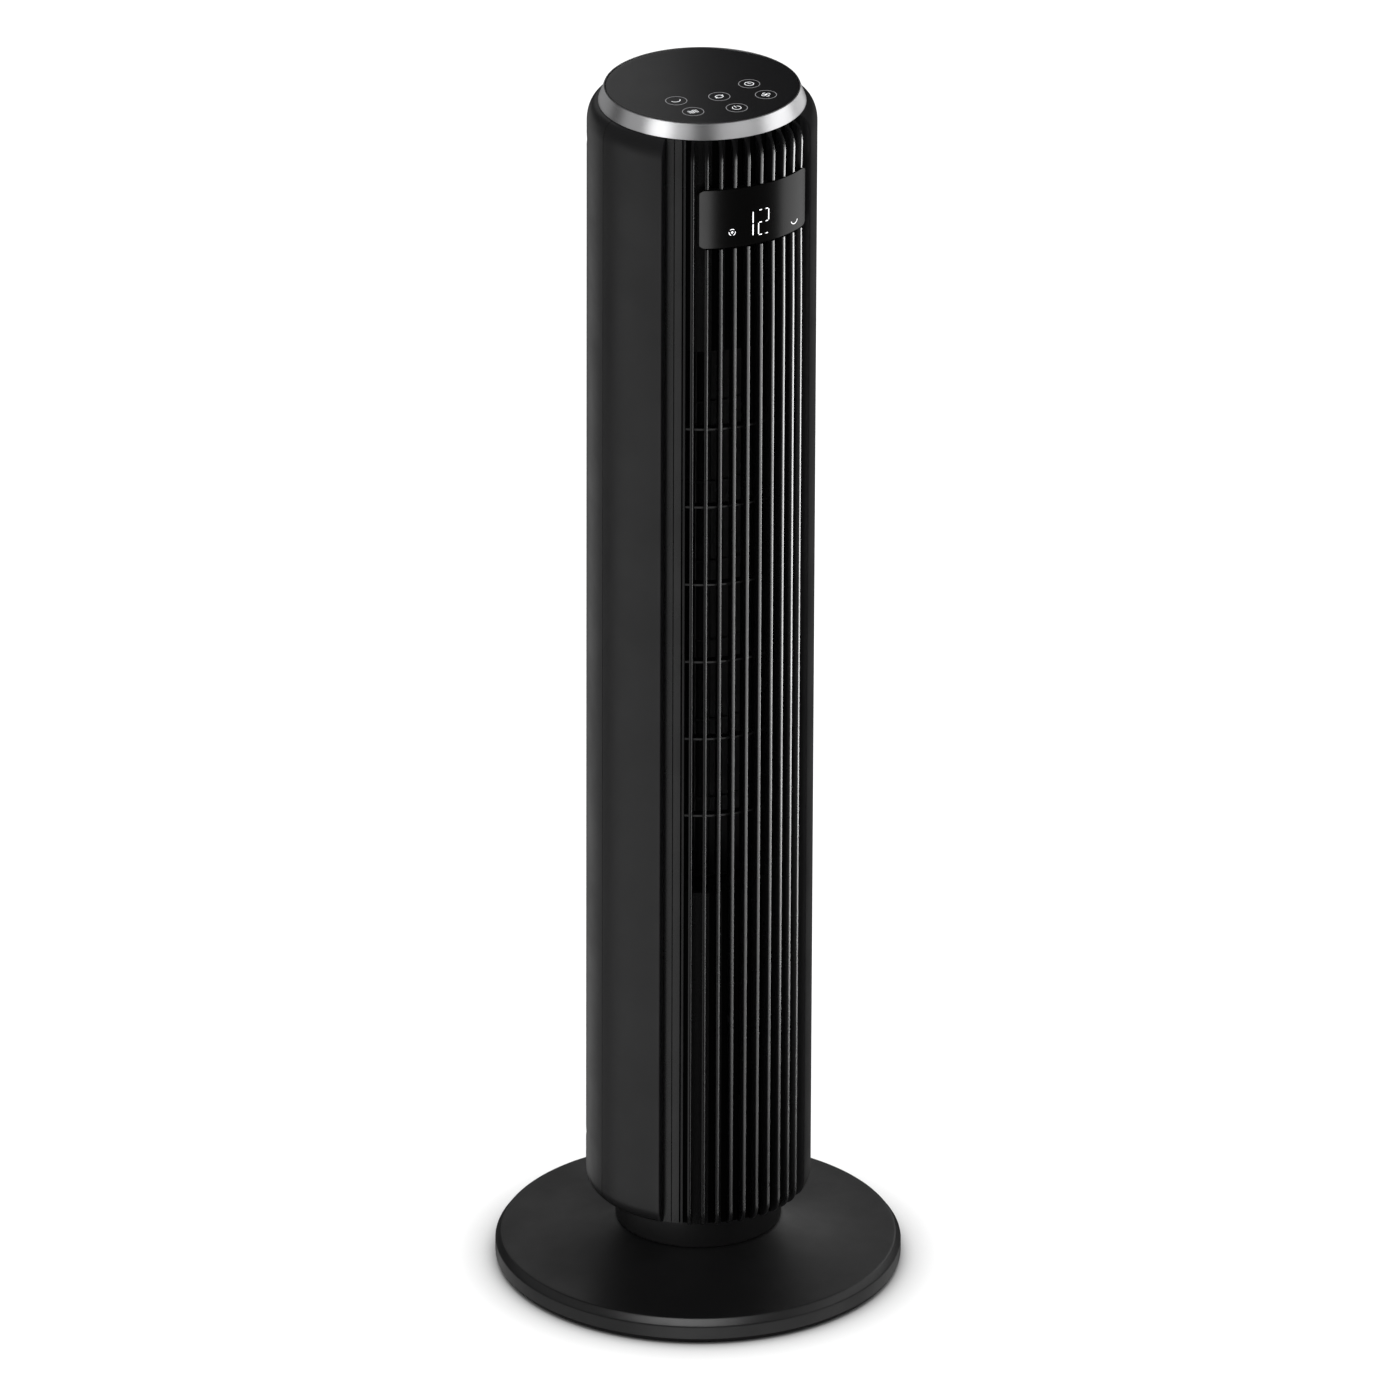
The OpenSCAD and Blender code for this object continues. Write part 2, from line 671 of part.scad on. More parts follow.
module motor_rotor() {
    color([0.5, 0.5, 0.52]) translate([axis_x, axis_y, motor_z0 + 10]) tube(20, shaft_r, 34);
}

module impeller_shaft() {
    color([0.8, 0.8, 0.82]) translate([axis_x, axis_y, 0]) {
        translate([0, 0, motor_z0 - 2]) cylinder(r = shaft_r, h = impeller_z0 + 14 - motor_z0 + 2);
        translate([0, 0, impeller_z1 - 14]) cylinder(r = shaft_r, h = duct_z1 + 12 - impeller_z1 + 14);
    }
}

// One forward-curved impeller blade as a bent strip, seen along the axis
function vane_side(d, n = 5) = [for (i = [0:n]) let (u = i / n, r = impeller_r - 10 + 9.6 * u, a = 26 * u * u)
    [r * cos(a) + d * sin(a + 40), r * sin(a) - d * cos(a + 40)]];

module impeller() {
    span = impeller_z1 - impeller_z0;
    discs = rib_count + 1;
    color([0.1, 0.1, 0.11]) translate([axis_x, axis_y, impeller_z0]) {
        difference() {
            union() {
                for (i = [0:impeller_blades - 1]) rotate([0, 0, i * 360 / impeller_blades])
                    linear_extrude(span) polygon(concat(vane_side(0), reversed(vane_side(0.9))));
                for (k = [1:discs - 1]) translate([0, 0, k * span / discs - disc_t / 2])
                    tube(impeller_r, impeller_r - 11, disc_t);
                for (z = [0, span - disc_t]) translate([0, 0, z]) cylinder(r = impeller_r, h = disc_t);
                cylinder(r = 9, h = 14);
                translate([0, 0, span - 14]) cylinder(r = 9, h = 14);
            }
            translate([0, 0, -1]) cylinder(r = shaft_r, h = 15);
            translate([0, 0, span - 14]) cylinder(r = shaft_r, h = 16);
        }
    }
}

// ---------- electrics ----------

module power_board() {
    color([0.1, 0.35, 0.2]) translate([-52, -30, 206.4]) cube([104, 80, 1.6]);
    color([0.85, 0.75, 0.2]) translate([-22, -14, 208]) cube([26, 22, 20]);
    color([0.15, 0.15, 0.3]) for (x = [18, 30]) translate([x, 10, 208]) cylinder(r = 5, h = 18);
}

module wire_harness() {
    color([0.12, 0.12, 0.12]) translate([harness[0], harness[1], 208])
        cylinder(r = harness_r, h = 893.4 - 208);
}

// ---------- output ----------

base_cover();
base_plate();
base_weight();
rubber_feet();
base_screws();
neck_collar();
pivot_tube();
base_nut();
swivel_washer();
sector_gear();
retaining_nut();
bottom_chassis();
front_shell();
rear_shell();
inlet_grille();
outlet_grille();
top_ring();
touch_panel();
touch_board();
top_frame();
display_pod();
display_lens();
display_board();
control_board();
duct_floor();
duct_cap();
scroll_casing();
air_tongue();
upper_bush();
motor_can();
motor_stator();
motor_bushes();
motor_cushions();
motor_screws();
swing_motor();
swing_motor_screws();
power_board();
wire_harness();
handle_cup();
cord_gland();
shell_screws();
impeller();
impeller_shaft();
motor_rotor();
drive_pinion();
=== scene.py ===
"""Tower fan: shells, bladed outlet, display window, touch panel and round base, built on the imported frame."""

import math

import bmesh
import bpy
from mathutils import Matrix, Vector


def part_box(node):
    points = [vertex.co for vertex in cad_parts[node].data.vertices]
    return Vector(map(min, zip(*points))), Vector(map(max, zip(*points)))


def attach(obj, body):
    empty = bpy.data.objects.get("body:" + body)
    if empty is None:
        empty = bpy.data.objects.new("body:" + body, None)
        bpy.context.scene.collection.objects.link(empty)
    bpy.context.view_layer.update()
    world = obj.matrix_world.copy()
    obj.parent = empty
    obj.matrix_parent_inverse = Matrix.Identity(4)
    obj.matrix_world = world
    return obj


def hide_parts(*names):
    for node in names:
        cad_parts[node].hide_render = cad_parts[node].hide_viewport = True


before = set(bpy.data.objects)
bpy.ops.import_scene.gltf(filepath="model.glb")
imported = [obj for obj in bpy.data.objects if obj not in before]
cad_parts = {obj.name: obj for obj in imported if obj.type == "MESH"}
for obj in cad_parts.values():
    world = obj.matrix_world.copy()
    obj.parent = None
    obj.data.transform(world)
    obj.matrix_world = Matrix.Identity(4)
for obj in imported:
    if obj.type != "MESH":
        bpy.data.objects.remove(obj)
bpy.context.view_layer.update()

MM = 0.001
TAU = 2 * math.pi

# ---------------------------------------------------------------------------
# Sizes, in metres: the frame's boxes first, then the mouldings' own details
# ---------------------------------------------------------------------------

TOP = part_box("top_ring")[1].z
TOWER_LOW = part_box("rear_shell")[0].z
TOWER_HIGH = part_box("rear_shell")[1].z
BODY_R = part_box("rear_shell")[1].x
BASE_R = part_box("base_cover")[1].x
BASE_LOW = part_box("base_cover")[0].z
NECK_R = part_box("neck_collar")[1].x
NECK_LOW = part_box("neck_collar")[0].z
NECK_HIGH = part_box("neck_collar")[1].z
PANEL_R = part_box("touch_panel")[1].x
PANEL_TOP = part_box("touch_panel")[1].z
LENS_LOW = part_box("display_lens")[0].z
LENS_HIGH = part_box("display_lens")[1].z
LENS_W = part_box("display_lens")[1].x

# Base and shells; bearings are in degrees from the front, positive towards +X
BASE_WALL = 3 * MM
BORE_R = 16.1 * MM
WALL = 2.4 * MM
FLOOR_R = 73.6 * MM
LINER_R = FLOOR_R - WALL
SHOULDER_LOW = 12.5 * MM
SHOULDER_HIGH = 14.9 * MM
SEAM = 0.14
WINDOW = (-51.5, 38.0)
RETURN_T = 2.2 * MM
BANDS = ((65.5 * MM, 84 * MM), (884 * MM, 899 * MM))

# Outlet: blades, the open part of the floor and the grooves in it, then the display
BLADE_STEP = 7.2
BLADE_T = 2.4 * MM
BLADES_EACH_SIDE = 4
OUTLET = (324.7 * MM, 746.9 * MM)
OUTLET_ANGLES = (-39.4, 34.6)
RIBS = 6
GROOVE = (-4.1, -0.95)
NARROW_GROOVE = (-42.2, -41.3)
GROOVE_DEPTH = 1.9 * MM
DISPLAY_GAP = 0.8 * MM
LENS_R = 80.9 * MM
LENS_CORNER = 4.5 * MM
INK_T = 0.06 * MM

# Back: inlet panel and its slots, hand hold, shell screws and gland
SLOT_STEP = 5.5
SLOT_HALF = math.degrees(2.3 / 81.4)
SLOT_SIDE = 8
SLOT_ROWS = 4
SLOT_LOW = 318 * MM
SLOT_PITCH = 109 * MM
SLOT_H = 101 * MM
INLET_HALF = 49
INLET_Z = (SLOT_LOW - 5 * MM, SLOT_LOW + (SLOT_ROWS - 1) * SLOT_PITCH + SLOT_H + 5 * MM)
INLET_GAP = 0.3 * MM
HOLD_W = 38 * MM
HOLD_Z = (790 * MM, 832 * MM)
SCREW_X = 68 * MM
SCREW_SEAT = 30 * MM
SCREW_ROWS = (99.6 * MM, 880 * MM)
GLAND_Z = 95 * MM


# ---------------------------------------------------------------------------
# Mesh helpers
# ---------------------------------------------------------------------------


def at(offset, radius, z):
    """A point at an offset in degrees from the front, positive towards +X."""
    a = math.radians(offset)
    return Vector((radius * math.sin(a), -radius * math.cos(a), z))


def spread(a, b, step):
    """Values from a to b, both included, no further apart than step."""
    n = max(1, math.ceil(abs(b - a) / step - 1e-6))
    return [a + (b - a) * i / n for i in range(n + 1)]


def new_mesh(name, verts, faces):
    mesh = bpy.data.meshes.new(name)
    mesh.from_pydata([tuple(v) for v in verts], [], faces)
    mesh.validate()
    return mesh


def piece(name, mesh, material, body, stands_for=(), sharp=35):
    """A finished piece: outward faces, smooth shading with sharp edges kept, riding on a body."""
    bm = bmesh.new()
    bm.from_mesh(mesh)
    bmesh.ops.remove_doubles(bm, verts=bm.verts, dist=1e-6)
    bmesh.ops.dissolve_degenerate(bm, dist=1e-7, edges=bm.edges)
    bmesh.ops.recalc_face_normals(bm, faces=bm.faces)
    limit = math.radians(sharp)
    for f in bm.faces:
        f.smooth = True
    for e in bm.edges:
        e.smooth = len(e.link_faces) == 2 and e.calc_face_angle(0) < limit
    bm.to_mesh(mesh)
    bm.free()
    obj = bpy.data.objects.new(name, mesh)
    bpy.context.scene.collection.objects.link(obj)
    obj.data.materials.clear()
    obj.data.materials.append(material)
    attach(obj, body)
    if stands_for:
        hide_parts(*stands_for)
    return obj


def loft(rings, cap=True):
    """Joins closed rings of equal length in order, with a face at each end."""
    assert len({len(ring) for ring in rings}) == 1
    n = len(rings[0])
    verts = [p for ring in rings for p in ring]
    faces = []
    for k in range(len(rings) - 1):
        for i in range(n):
            j = (i + 1) % n
            faces.append((k * n + i, k * n + j, (k + 1) * n + j, (k + 1) * n + i))
    if cap:
        faces.append(tuple(reversed(range(n))))
        faces.append(tuple(range((len(rings) - 1) * n, len(rings) * n)))
    return verts, faces


def lathe(outline, steps=144, closed=False):
    """Turns an outline of (radius, height) round the Z axis. Points on the axis become a single vertex."""
    verts, faces, rows = [], [], []
    for r, z in outline:
        if r < 1e-7:
            rows.append([len(verts)] * steps)
            verts.append((0, 0, z))
        else:
            rows.append(list(range(len(verts), len(verts) + steps)))
            verts += [(r * math.cos(TAU * i / steps), r * math.sin(TAU * i / steps), z) for i in range(steps)]
    pairs = list(zip(rows, rows[1:] + rows[:1])) if closed else list(zip(rows, rows[1:]))
    for low, high in pairs:
        for i in range(steps):
            j = (i + 1) % steps
            face = list(dict.fromkeys((low[i], low[j], high[j], high[i])))
            if len(face) > 2:
                faces.append(face)
    return verts, faces


def merged(*parts):
    """Several (verts, faces) as one."""
    verts, faces = [], []
    for v, f in parts:
        shift = len(verts)
        verts += list(v)
        faces += [tuple(i + shift for i in face) for face in f]
    return verts, faces


def moved(part, matrix):
    verts, faces = part
    return [matrix @ Vector(v) for v in verts], faces


def rounded(corner_a, corner_b, corner_c, size, steps=4):
    """Points of a round corner at b between two straight runs, in two dimensions."""
    a, b, c = Vector(corner_a), Vector(corner_b), Vector(corner_c)
    start, end = b + (a - b).normalized() * size, b + (c - b).normalized() * size
    return [
        tuple(start * (1 - t) ** 2 + b * 2 * t * (1 - t) + end * t * t)
        for t in (i / steps for i in range(steps + 1))
    ]


def soft_outline(points, sizes, closed=False):
    """An outline with each corner rounded by its own size; zero keeps it sharp."""
    result = []
    n = len(points)
    for i, (p, size) in enumerate(zip(points, sizes)):
        if size and (closed or 0 < i < n - 1):
            result += rounded(points[i - 1], p, points[(i + 1) % n], size)
        else:
            result.append(tuple(p))
    return result


def evaluated(obj):
    """The object's mesh with its modifiers applied, as a new mesh; the object itself is removed."""
    bpy.context.view_layer.update()
    graph = bpy.context.evaluated_depsgraph_get()
    mesh = bpy.data.meshes.new_from_object(obj.evaluated_get(graph), depsgraph=graph)
    bpy.data.objects.remove(obj)
    return mesh


def helper_object(name, part):
    obj = bpy.data.objects.new(name, new_mesh(name, *part))
    bpy.context.scene.collection.objects.link(obj)
    return obj


def outline_radius(z):
    """Outer radius of the tower's shells at a height."""
    bulge = BODY_R - FLOOR_R
    if z < TOWER_LOW + SHOULDER_LOW:
        t = 1 - (z - TOWER_LOW) / SHOULDER_LOW
    elif z > TOWER_HIGH - SHOULDER_HIGH:
        t = 1 - (TOWER_HIGH - z) / SHOULDER_HIGH
    else:
        return BODY_R
    return FLOOR_R + bulge * math.sqrt(max(0.0, 1 - t * t))


def shoulder_levels(low, high, step=60 * MM, n=14):
    """Heights along the tower, close together in the two shoulders."""
    arc = [math.pi / 2 * i / n for i in range(n + 1)]
    lower = [TOWER_LOW + SHOULDER_LOW * (1 - math.cos(a)) for a in arc]
    upper = [TOWER_HIGH - SHOULDER_HIGH * (1 - math.cos(a)) for a in reversed(arc)]
    middle = spread(lower[-1], upper[0], step)[1:-1]
    return [z for z in lower + middle + upper if low - 1e-9 <= z <= high + 1e-9]


# ---------------------------------------------------------------------------
# Geometry Nodes trees for what repeats
# ---------------------------------------------------------------------------


def add(tree, kind, **inputs):
    """A node of a kind. Each input is a value or another node's output, with _ for a space in its name."""
    node = tree.nodes.new(kind)
    for label, value in inputs.items():
        feed(tree, node.inputs[label.replace("_", " ")], value)
    return node


def feed(tree, socket, value):
    """Gives a socket a value, or links it from an output."""
    if isinstance(value, bpy.types.NodeSocket):
        tree.links.new(value, socket)
    else:
        socket.default_value = value


def new_tree(name, inputs):
    """A geometry tree with a mesh input, then the named inputs, and a mesh output."""
    tree = bpy.data.node_groups.new(name, "GeometryNodeTree")
    tree.interface.new_socket("Geometry", in_out="INPUT", socket_type="NodeSocketGeometry")
    for label, kind in inputs:
        tree.interface.new_socket(label, in_out="INPUT", socket_type="NodeSocket" + kind)
    tree.interface.new_socket("Geometry", in_out="OUTPUT", socket_type="NodeSocketGeometry")
    start = tree.nodes.new("NodeGroupInput")
    end = tree.nodes.new("NodeGroupOutput")
    return tree, start, end


def math_node(tree, operation, a, b):
    node = tree.nodes.new("ShaderNodeMath")
    node.operation = operation
    for socket, value in zip(node.inputs, (a, b)):
        feed(tree, socket, value)
    return node.outputs[0]


def finish_tree(tree, start, end, **place):
    """Puts an instance on each point, makes them all real and gives them the material."""
    placed = add(tree, "GeometryNodeInstanceOnPoints", **place)
    real = add(tree, "GeometryNodeRealizeInstances", Geometry=placed.outputs["Instances"])
    dressed = add(
        tree, "GeometryNodeSetMaterial", Geometry=real.outputs["Geometry"], Material=start.outputs["Material"])
    tree.links.new(dressed.outputs["Geometry"], end.inputs["Geometry"])


def ring_array_tree():
    """Copies of the mesh turned about Z: Count of them, First and Step in radians."""
    tree, start, end = new_tree(
        "ring_array", [("Count", "Int"), ("First", "Float"), ("Step", "Float"), ("Material", "Material")]
    )
    line = add(tree, "GeometryNodeMeshLine", Offset=(0, 0, 0), Count=start.outputs["Count"])
    index = add(tree, "GeometryNodeInputIndex").outputs[0]
    turn = math_node(tree, "MULTIPLY", index, start.outputs["Step"])
    turn = math_node(tree, "ADD", turn, start.outputs["First"])
    angles = add(tree, "ShaderNodeCombineXYZ", Z=turn).outputs[0]
    finish_tree(
        tree, start, end, Points=line.outputs["Mesh"], Instance=start.outputs["Geometry"], Rotation=angles)
    return tree


def stack_array_tree():
    """Copies of the mesh one above the other: Count of them, Rise apart."""
    tree, start, end = new_tree(
        "stack_array", [("Count", "Int"), ("Rise", "Float"), ("Material", "Material")])
    offset = add(tree, "ShaderNodeCombineXYZ", Z=start.outputs["Rise"]).outputs[0]
    line = add(tree, "GeometryNodeMeshLine", Offset=offset, Count=start.outputs["Count"])
    finish_tree(tree, start, end, Points=line.outputs["Mesh"], Instance=start.outputs["Geometry"])
    return tree


def key_ring_tree():
    """A thin flat ring round each vertex of the mesh, as printed round a touch key."""
    tree, start, end = new_tree(
        "key_rings",
        [("Radius", "Float"), ("Line", "Float"), ("Thickness", "Float"), ("Material", "Material")],
    )
    circle = add(tree, "GeometryNodeCurvePrimitiveCircle", Resolution=64, Radius=start.outputs["Radius"])
    section = add(tree, "GeometryNodeCurvePrimitiveQuadrilateral",
                  Width=start.outputs["Line"], Height=start.outputs["Thickness"])
    sweep = add(tree, "GeometryNodeCurveToMesh",
                Curve=circle.outputs["Curve"], Profile_Curve=section.outputs["Curve"])
    finish_tree(tree, start, end, Points=start.outputs["Geometry"], Instance=sweep.outputs["Mesh"])
    return tree


def grown(name, part, tree, **values):
    """Runs a tree on a mesh and returns the plain mesh that it makes."""
    obj = helper_object(name, part)
    modifier = obj.modifiers.new("grow", "NODES")
    modifier.node_group = tree
    for item in tree.interface.items_tree:
        if item.in_out == "INPUT" and item.name in values:
            modifier[item.identifier] = values[item.name]
    return evaluated(obj)


# ---------------------------------------------------------------------------
# Shader node groups and materials
# ---------------------------------------------------------------------------


def shader_group(name, inputs, outputs):
    tree = bpy.data.node_groups.new(name, "ShaderNodeTree")
    for label, kind, value in inputs:
        socket = tree.interface.new_socket(label, in_out="INPUT", socket_type="NodeSocket" + kind)
        if value is not None:
            socket.default_value = value
    for label, kind in outputs:
        tree.interface.new_socket(label, in_out="OUTPUT", socket_type="NodeSocket" + kind)
    return tree, tree.nodes.new("NodeGroupInput"), tree.nodes.new("NodeGroupOutput")


def noise(tree, vector, scale, detail=2.0, rough=0.5):
    node = add(tree, "ShaderNodeTexNoise", Vector=vector, Scale=scale, Detail=detail, Roughness=rough)
    return node.outputs["Fac"]


def moulded_grain_group():
    """Fine spark-eroded grain of a moulding: a height and a slow tone over the surface."""
    tree, start, end = shader_group(
        "moulded_grain", [("Vector", "Vector", None), ("Grain", "Float", 2400.0)],
        [("Height", "Float"), ("Tone", "Float")],
    )
    vector = start.outputs["Vector"]
    fine = noise(tree, vector, start.outputs["Grain"], 3.0, 0.6)
    coarse = math_node(tree, "MULTIPLY", start.outputs["Grain"], 0.6)
    cells = add(tree, "ShaderNodeTexVoronoi", Vector=vector, Scale=coarse)
    height = math_node(tree, "ADD", math_node(tree, "MULTIPLY", cells.outputs["Distance"], 0.5), fine)
    tree.links.new(height, end.inputs["Height"])
    tree.links.new(noise(tree, vector, 14.0, 4.0, 0.6), end.inputs["Tone"])
    return tree


def handling_group():
    """Faint patches left by hands and cloths: a mask from 0 to 1."""
    tree, start, end = shader_group(
        "handling", [("Vector", "Vector", None), ("Size", "Float", 22.0)], [("Mask", "Float")])
    broad = noise(tree, start.outputs["Vector"], start.outputs["Size"], 5.0, 0.62)
    shape = add(tree, "ShaderNodeMapRange", Value=broad, From_Min=0.38, From_Max=0.68)
    tree.links.new(shape.outputs["Result"], end.inputs["Mask"])
    return tree


def brushed_group():
    """Fine lines that run round the Z axis, as turned or brushed metal shows."""
    tree, start, end = shader_group(
        "brushed_lines", [("Vector", "Vector", None), ("Lines", "Float", 5200.0)], [("Height", "Float")])
    split = add(tree, "ShaderNodeSeparateXYZ", Vector=start.outputs["Vector"])
    scales = {"X": 6.0, "Y": 6.0, "Z": start.outputs["Lines"]}
    stretched = {axis: math_node(tree, "MULTIPLY", split.outputs[axis], n) for axis, n in scales.items()}
    join = add(tree, "ShaderNodeCombineXYZ", **stretched)
    tree.links.new(noise(tree, join.outputs[0], 1.0, 3.0, 0.7), end.inputs["Height"])
    return tree


def place_group(tree, group, vector, **values):
    node = tree.nodes.new("ShaderNodeGroup")
    node.node_tree = group
    for label, value in {"Vector": vector, **values}.items():
        feed(tree, node.inputs[label], value)
    return node


def mix_colour(tree, mask, a, b):
    node = tree.nodes.new("ShaderNodeMix")
    node.data_type = "RGBA"
    node.inputs["A"].default_value = (*a, 1)
    node.inputs["B"].default_value = (*b, 1)
    tree.links.new(mask, node.inputs["Factor"])
    return node.outputs["Result"]


def between(tree, mask, low, high):
    return add(tree, "ShaderNodeMapRange", Value=mask, To_Min=low, To_Max=high).outputs["Result"]


def bump(tree, height, distance):
    return add(tree, "ShaderNodeBump", Height=height, Distance=distance, Strength=1.0).outputs["Normal"]


def blank_material(name, metallic=0.0, specular=0.5, glow=0.0):
    """A material with a Principled shader, whose constants sit on its own sockets."""
    material = bpy.data.materials.new(name)
    material.use_nodes = True
    tree = material.node_tree
    shader = tree.nodes["Principled BSDF"]
    shader.inputs["Metallic"].default_value = metallic
    shader.inputs["Specular IOR Level"].default_value = specular
    shader.inputs["Emission Strength"].default_value = glow
    where = tree.nodes.new("ShaderNodeTexCoord")
    return material, tree, shader, where.outputs["Object"]


def moulding(name, colour, shade, rough, grain=2400.0, depth=0.02, size=22.0, **constants):
    """A moulded or coated surface: slow tone, handled patches in the gloss and a fine grain."""
    material, tree, shader, vector = blank_material(name, **constants)
    texture = place_group(tree, GRAIN, vector, Grain=grain)
    hands = place_group(tree, HANDLING, vector, Size=size)
    tree.links.new(mix_colour(tree, texture.outputs["Tone"], colour, shade), shader.inputs["Base Color"])
    tree.links.new(between(tree, hands.outputs["Mask"], *rough), shader.inputs["Roughness"])
    tree.links.new(bump(tree, texture.outputs["Height"], depth * MM), shader.inputs["Normal"])
    return material


def metal(name, colour, shade, rough, lines=5200.0, depth=0.01):
    """Brushed or turned metal."""
    material, tree, shader, vector = blank_material(name, metallic=1.0)
    brushed = place_group(tree, BRUSHED, vector, Lines=lines)
    hands = place_group(tree, HANDLING, vector, Size=30.0)
    tree.links.new(mix_colour(tree, brushed.outputs["Height"], colour, shade), shader.inputs["Base Color"])
    tree.links.new(between(tree, hands.outputs["Mask"], *rough), shader.inputs["Roughness"])
    tree.links.new(bump(tree, brushed.outputs["Height"], depth * MM), shader.inputs["Normal"])
    return material


def printed(name, colour, glow):
    """Light ink or a lit mark, slightly uneven; a lit mark's glow is its own light, and glow on ink is painted
    light.
    """
    material, tree, shader, vector = blank_material(name, glow=glow)
    texture = place_group(tree, GRAIN, vector, Grain=3000.0)
    paler = tuple(min(1.0, c * 1.1) for c in colour)
    tone = mix_colour(tree, texture.outputs["Tone"], colour, paler)
    tree.links.new(tone, shader.inputs["Base Color"])
    tree.links.new(tone, shader.inputs["Emission Color"])
    tree.links.new(between(tree, texture.outputs["Tone"], 0.4, 0.5), shader.inputs["Roughness"])
    return material


GRAIN = moulded_grain_group()
HANDLING = handling_group()
BRUSHED = brushed_group()

SHELL = moulding("satin_black_shell", (0.007, 0.007, 0.0075), (0.010, 0.010, 0.0105), (0.34, 0.42))
GRILLE = moulding("satin_black_blades", (0.0025, 0.0025, 0.0028), (0.004, 0.004, 0.0043), (0.24, 0.30))
BASE = moulding("satin_black_base", (0.0035, 0.0035, 0.0038), (0.005, 0.005, 0.0053), (0.36, 0.44))
NECK = moulding("satin_black_neck", (0.005, 0.005, 0.0055), (0.007, 0.007, 0.0075), (0.42, 0.5))
INNER = moulding("dull_black_inner", (0.003,) * 3, (0.0045,) * 3, (0.5, 0.65), depth=0.03)
# Painted shade: near-black, almost matte paint laid on the bottoms of the outlet floor's grooves, standing in
# for the shadow in them.
GROOVE_SHADE_PAINT = moulding("painted_groove_shade", (0.0008,) * 3, (0.0012,) * 3, (0.8, 0.95), specular=0.06)
WHEEL = moulding("black_wheel", (0.0025, 0.0025, 0.003), (0.004, 0.004, 0.0045), (0.4, 0.5))
RING = metal("satin_silver_ring", (0.80, 0.80, 0.81), (0.74, 0.74, 0.75), (0.33, 0.35), 5200.0, 0.004)
PANEL = moulding(
    "gloss_black_panel", (0.003, 0.003, 0.0035), (0.004, 0.004, 0.0045), (0.22, 0.26), depth=0.0005)
LENS = moulding(
    "smoked_display", (0.0009, 0.0007, 0.0007), (0.0012, 0.0010, 0.0010), (0.24, 0.27), depth=0.0005)
LIT = printed("lit_segments", (0.95, 0.96, 1.0), 1.1)
# The key marks and key outlines are light and grey ink, each with a painted glow that brightens them as well.
INK = printed("key_marks", (0.82, 0.83, 0.85), 0.25)
OUTLINE_INK = printed("key_outlines", (0.26, 0.26, 0.27), 0.05)
RUBBER = moulding("black_rubber", (0.018,) * 3, (0.026,) * 3, (0.65, 0.8), 1600.0, 0.05)
STEEL = metal("zinc_plate", (0.56, 0.57, 0.58), (0.44, 0.45, 0.46), (0.28, 0.42), 900.0)
IRON = moulding("cast_iron", (0.10, 0.10, 0.105), (0.16, 0.16, 0.165), (0.5, 0.7), 700.0, 0.12, metallic=0.8)
BRONZE = metal("sintered_bronze", (0.52, 0.36, 0.18), (0.40, 0.27, 0.13), (0.35, 0.5), 1500.0)
ACETAL = moulding("white_acetal", (0.72, 0.71, 0.66), (0.80, 0.79, 0.75), (0.34, 0.42), 1800.0, 0.01)
BOARD = moulding("solder_mask", (0.010, 0.07, 0.035), (0.016, 0.10, 0.05), (0.25, 0.35), 2600.0, 0.01)

NODE_MATERIALS = {
    node: material
    for material, nodes in (
        (INNER, "base_plate base_nut bottom_chassis top_frame display_pod duct_floor duct_cap scroll_casing "
                "air_tongue handle_cup"),
        (STEEL, "base_screws pivot_tube retaining_nut motor_can motor_screws swing_motor swing_motor_screws "
                "shell_screws impeller_shaft"),
        (IRON, "base_weight motor_stator motor_rotor"),
        (RUBBER, "rubber_feet motor_cushions wire_harness cord_gland"),
        (ACETAL, "swivel_washer sector_gear drive_pinion"),
        (BOARD, "touch_board display_board control_board power_board"),
        (BRONZE, "upper_bush motor_bushes"),
        (WHEEL, "impeller"),
    )
    for node in nodes.split()
}


def dress_cad_nodes():
    """Gives each CAD node that stays its procedural material."""
    for name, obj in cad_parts.items():
        obj.data.materials.clear()
        obj.data.materials.append(NODE_MATERIALS.get(name, SHELL))


# ---------------------------------------------------------------------------
# Camera
# ---------------------------------------------------------------------------

VIEW_AZIMUTH = -31.3
VIEW_PITCH = 24.904
VIEW_ROLL = 0.206
VIEW_AWAY = 11.332
VIEW_HEIGHT = 5.704
VIEW_LENS = 448.93


def make_camera():
    data = bpy.data.cameras.new("camera")
    data.lens = VIEW_LENS
    data.sensor_width = 36
    data.clip_end = 60
    camera = bpy.data.objects.new("camera", data)
    bpy.context.scene.collection.objects.link(camera)
    a = math.radians(VIEW_AZIMUTH)
    place = Matrix.Translation((VIEW_AWAY * math.sin(a), -VIEW_AWAY * math.cos(a), VIEW_HEIGHT))
    turn = Matrix.Rotation(a, 4, "Z") @ Matrix.Rotation(math.radians(90 - VIEW_PITCH), 4, "X")
    camera.matrix_world = place @ turn @ Matrix.Rotation(math.radians(VIEW_ROLL), 4, "Z")
    bpy.context.scene.camera = camera


# ---------------------------------------------------------------------------
# Base and neck
# ---------------------------------------------------------------------------


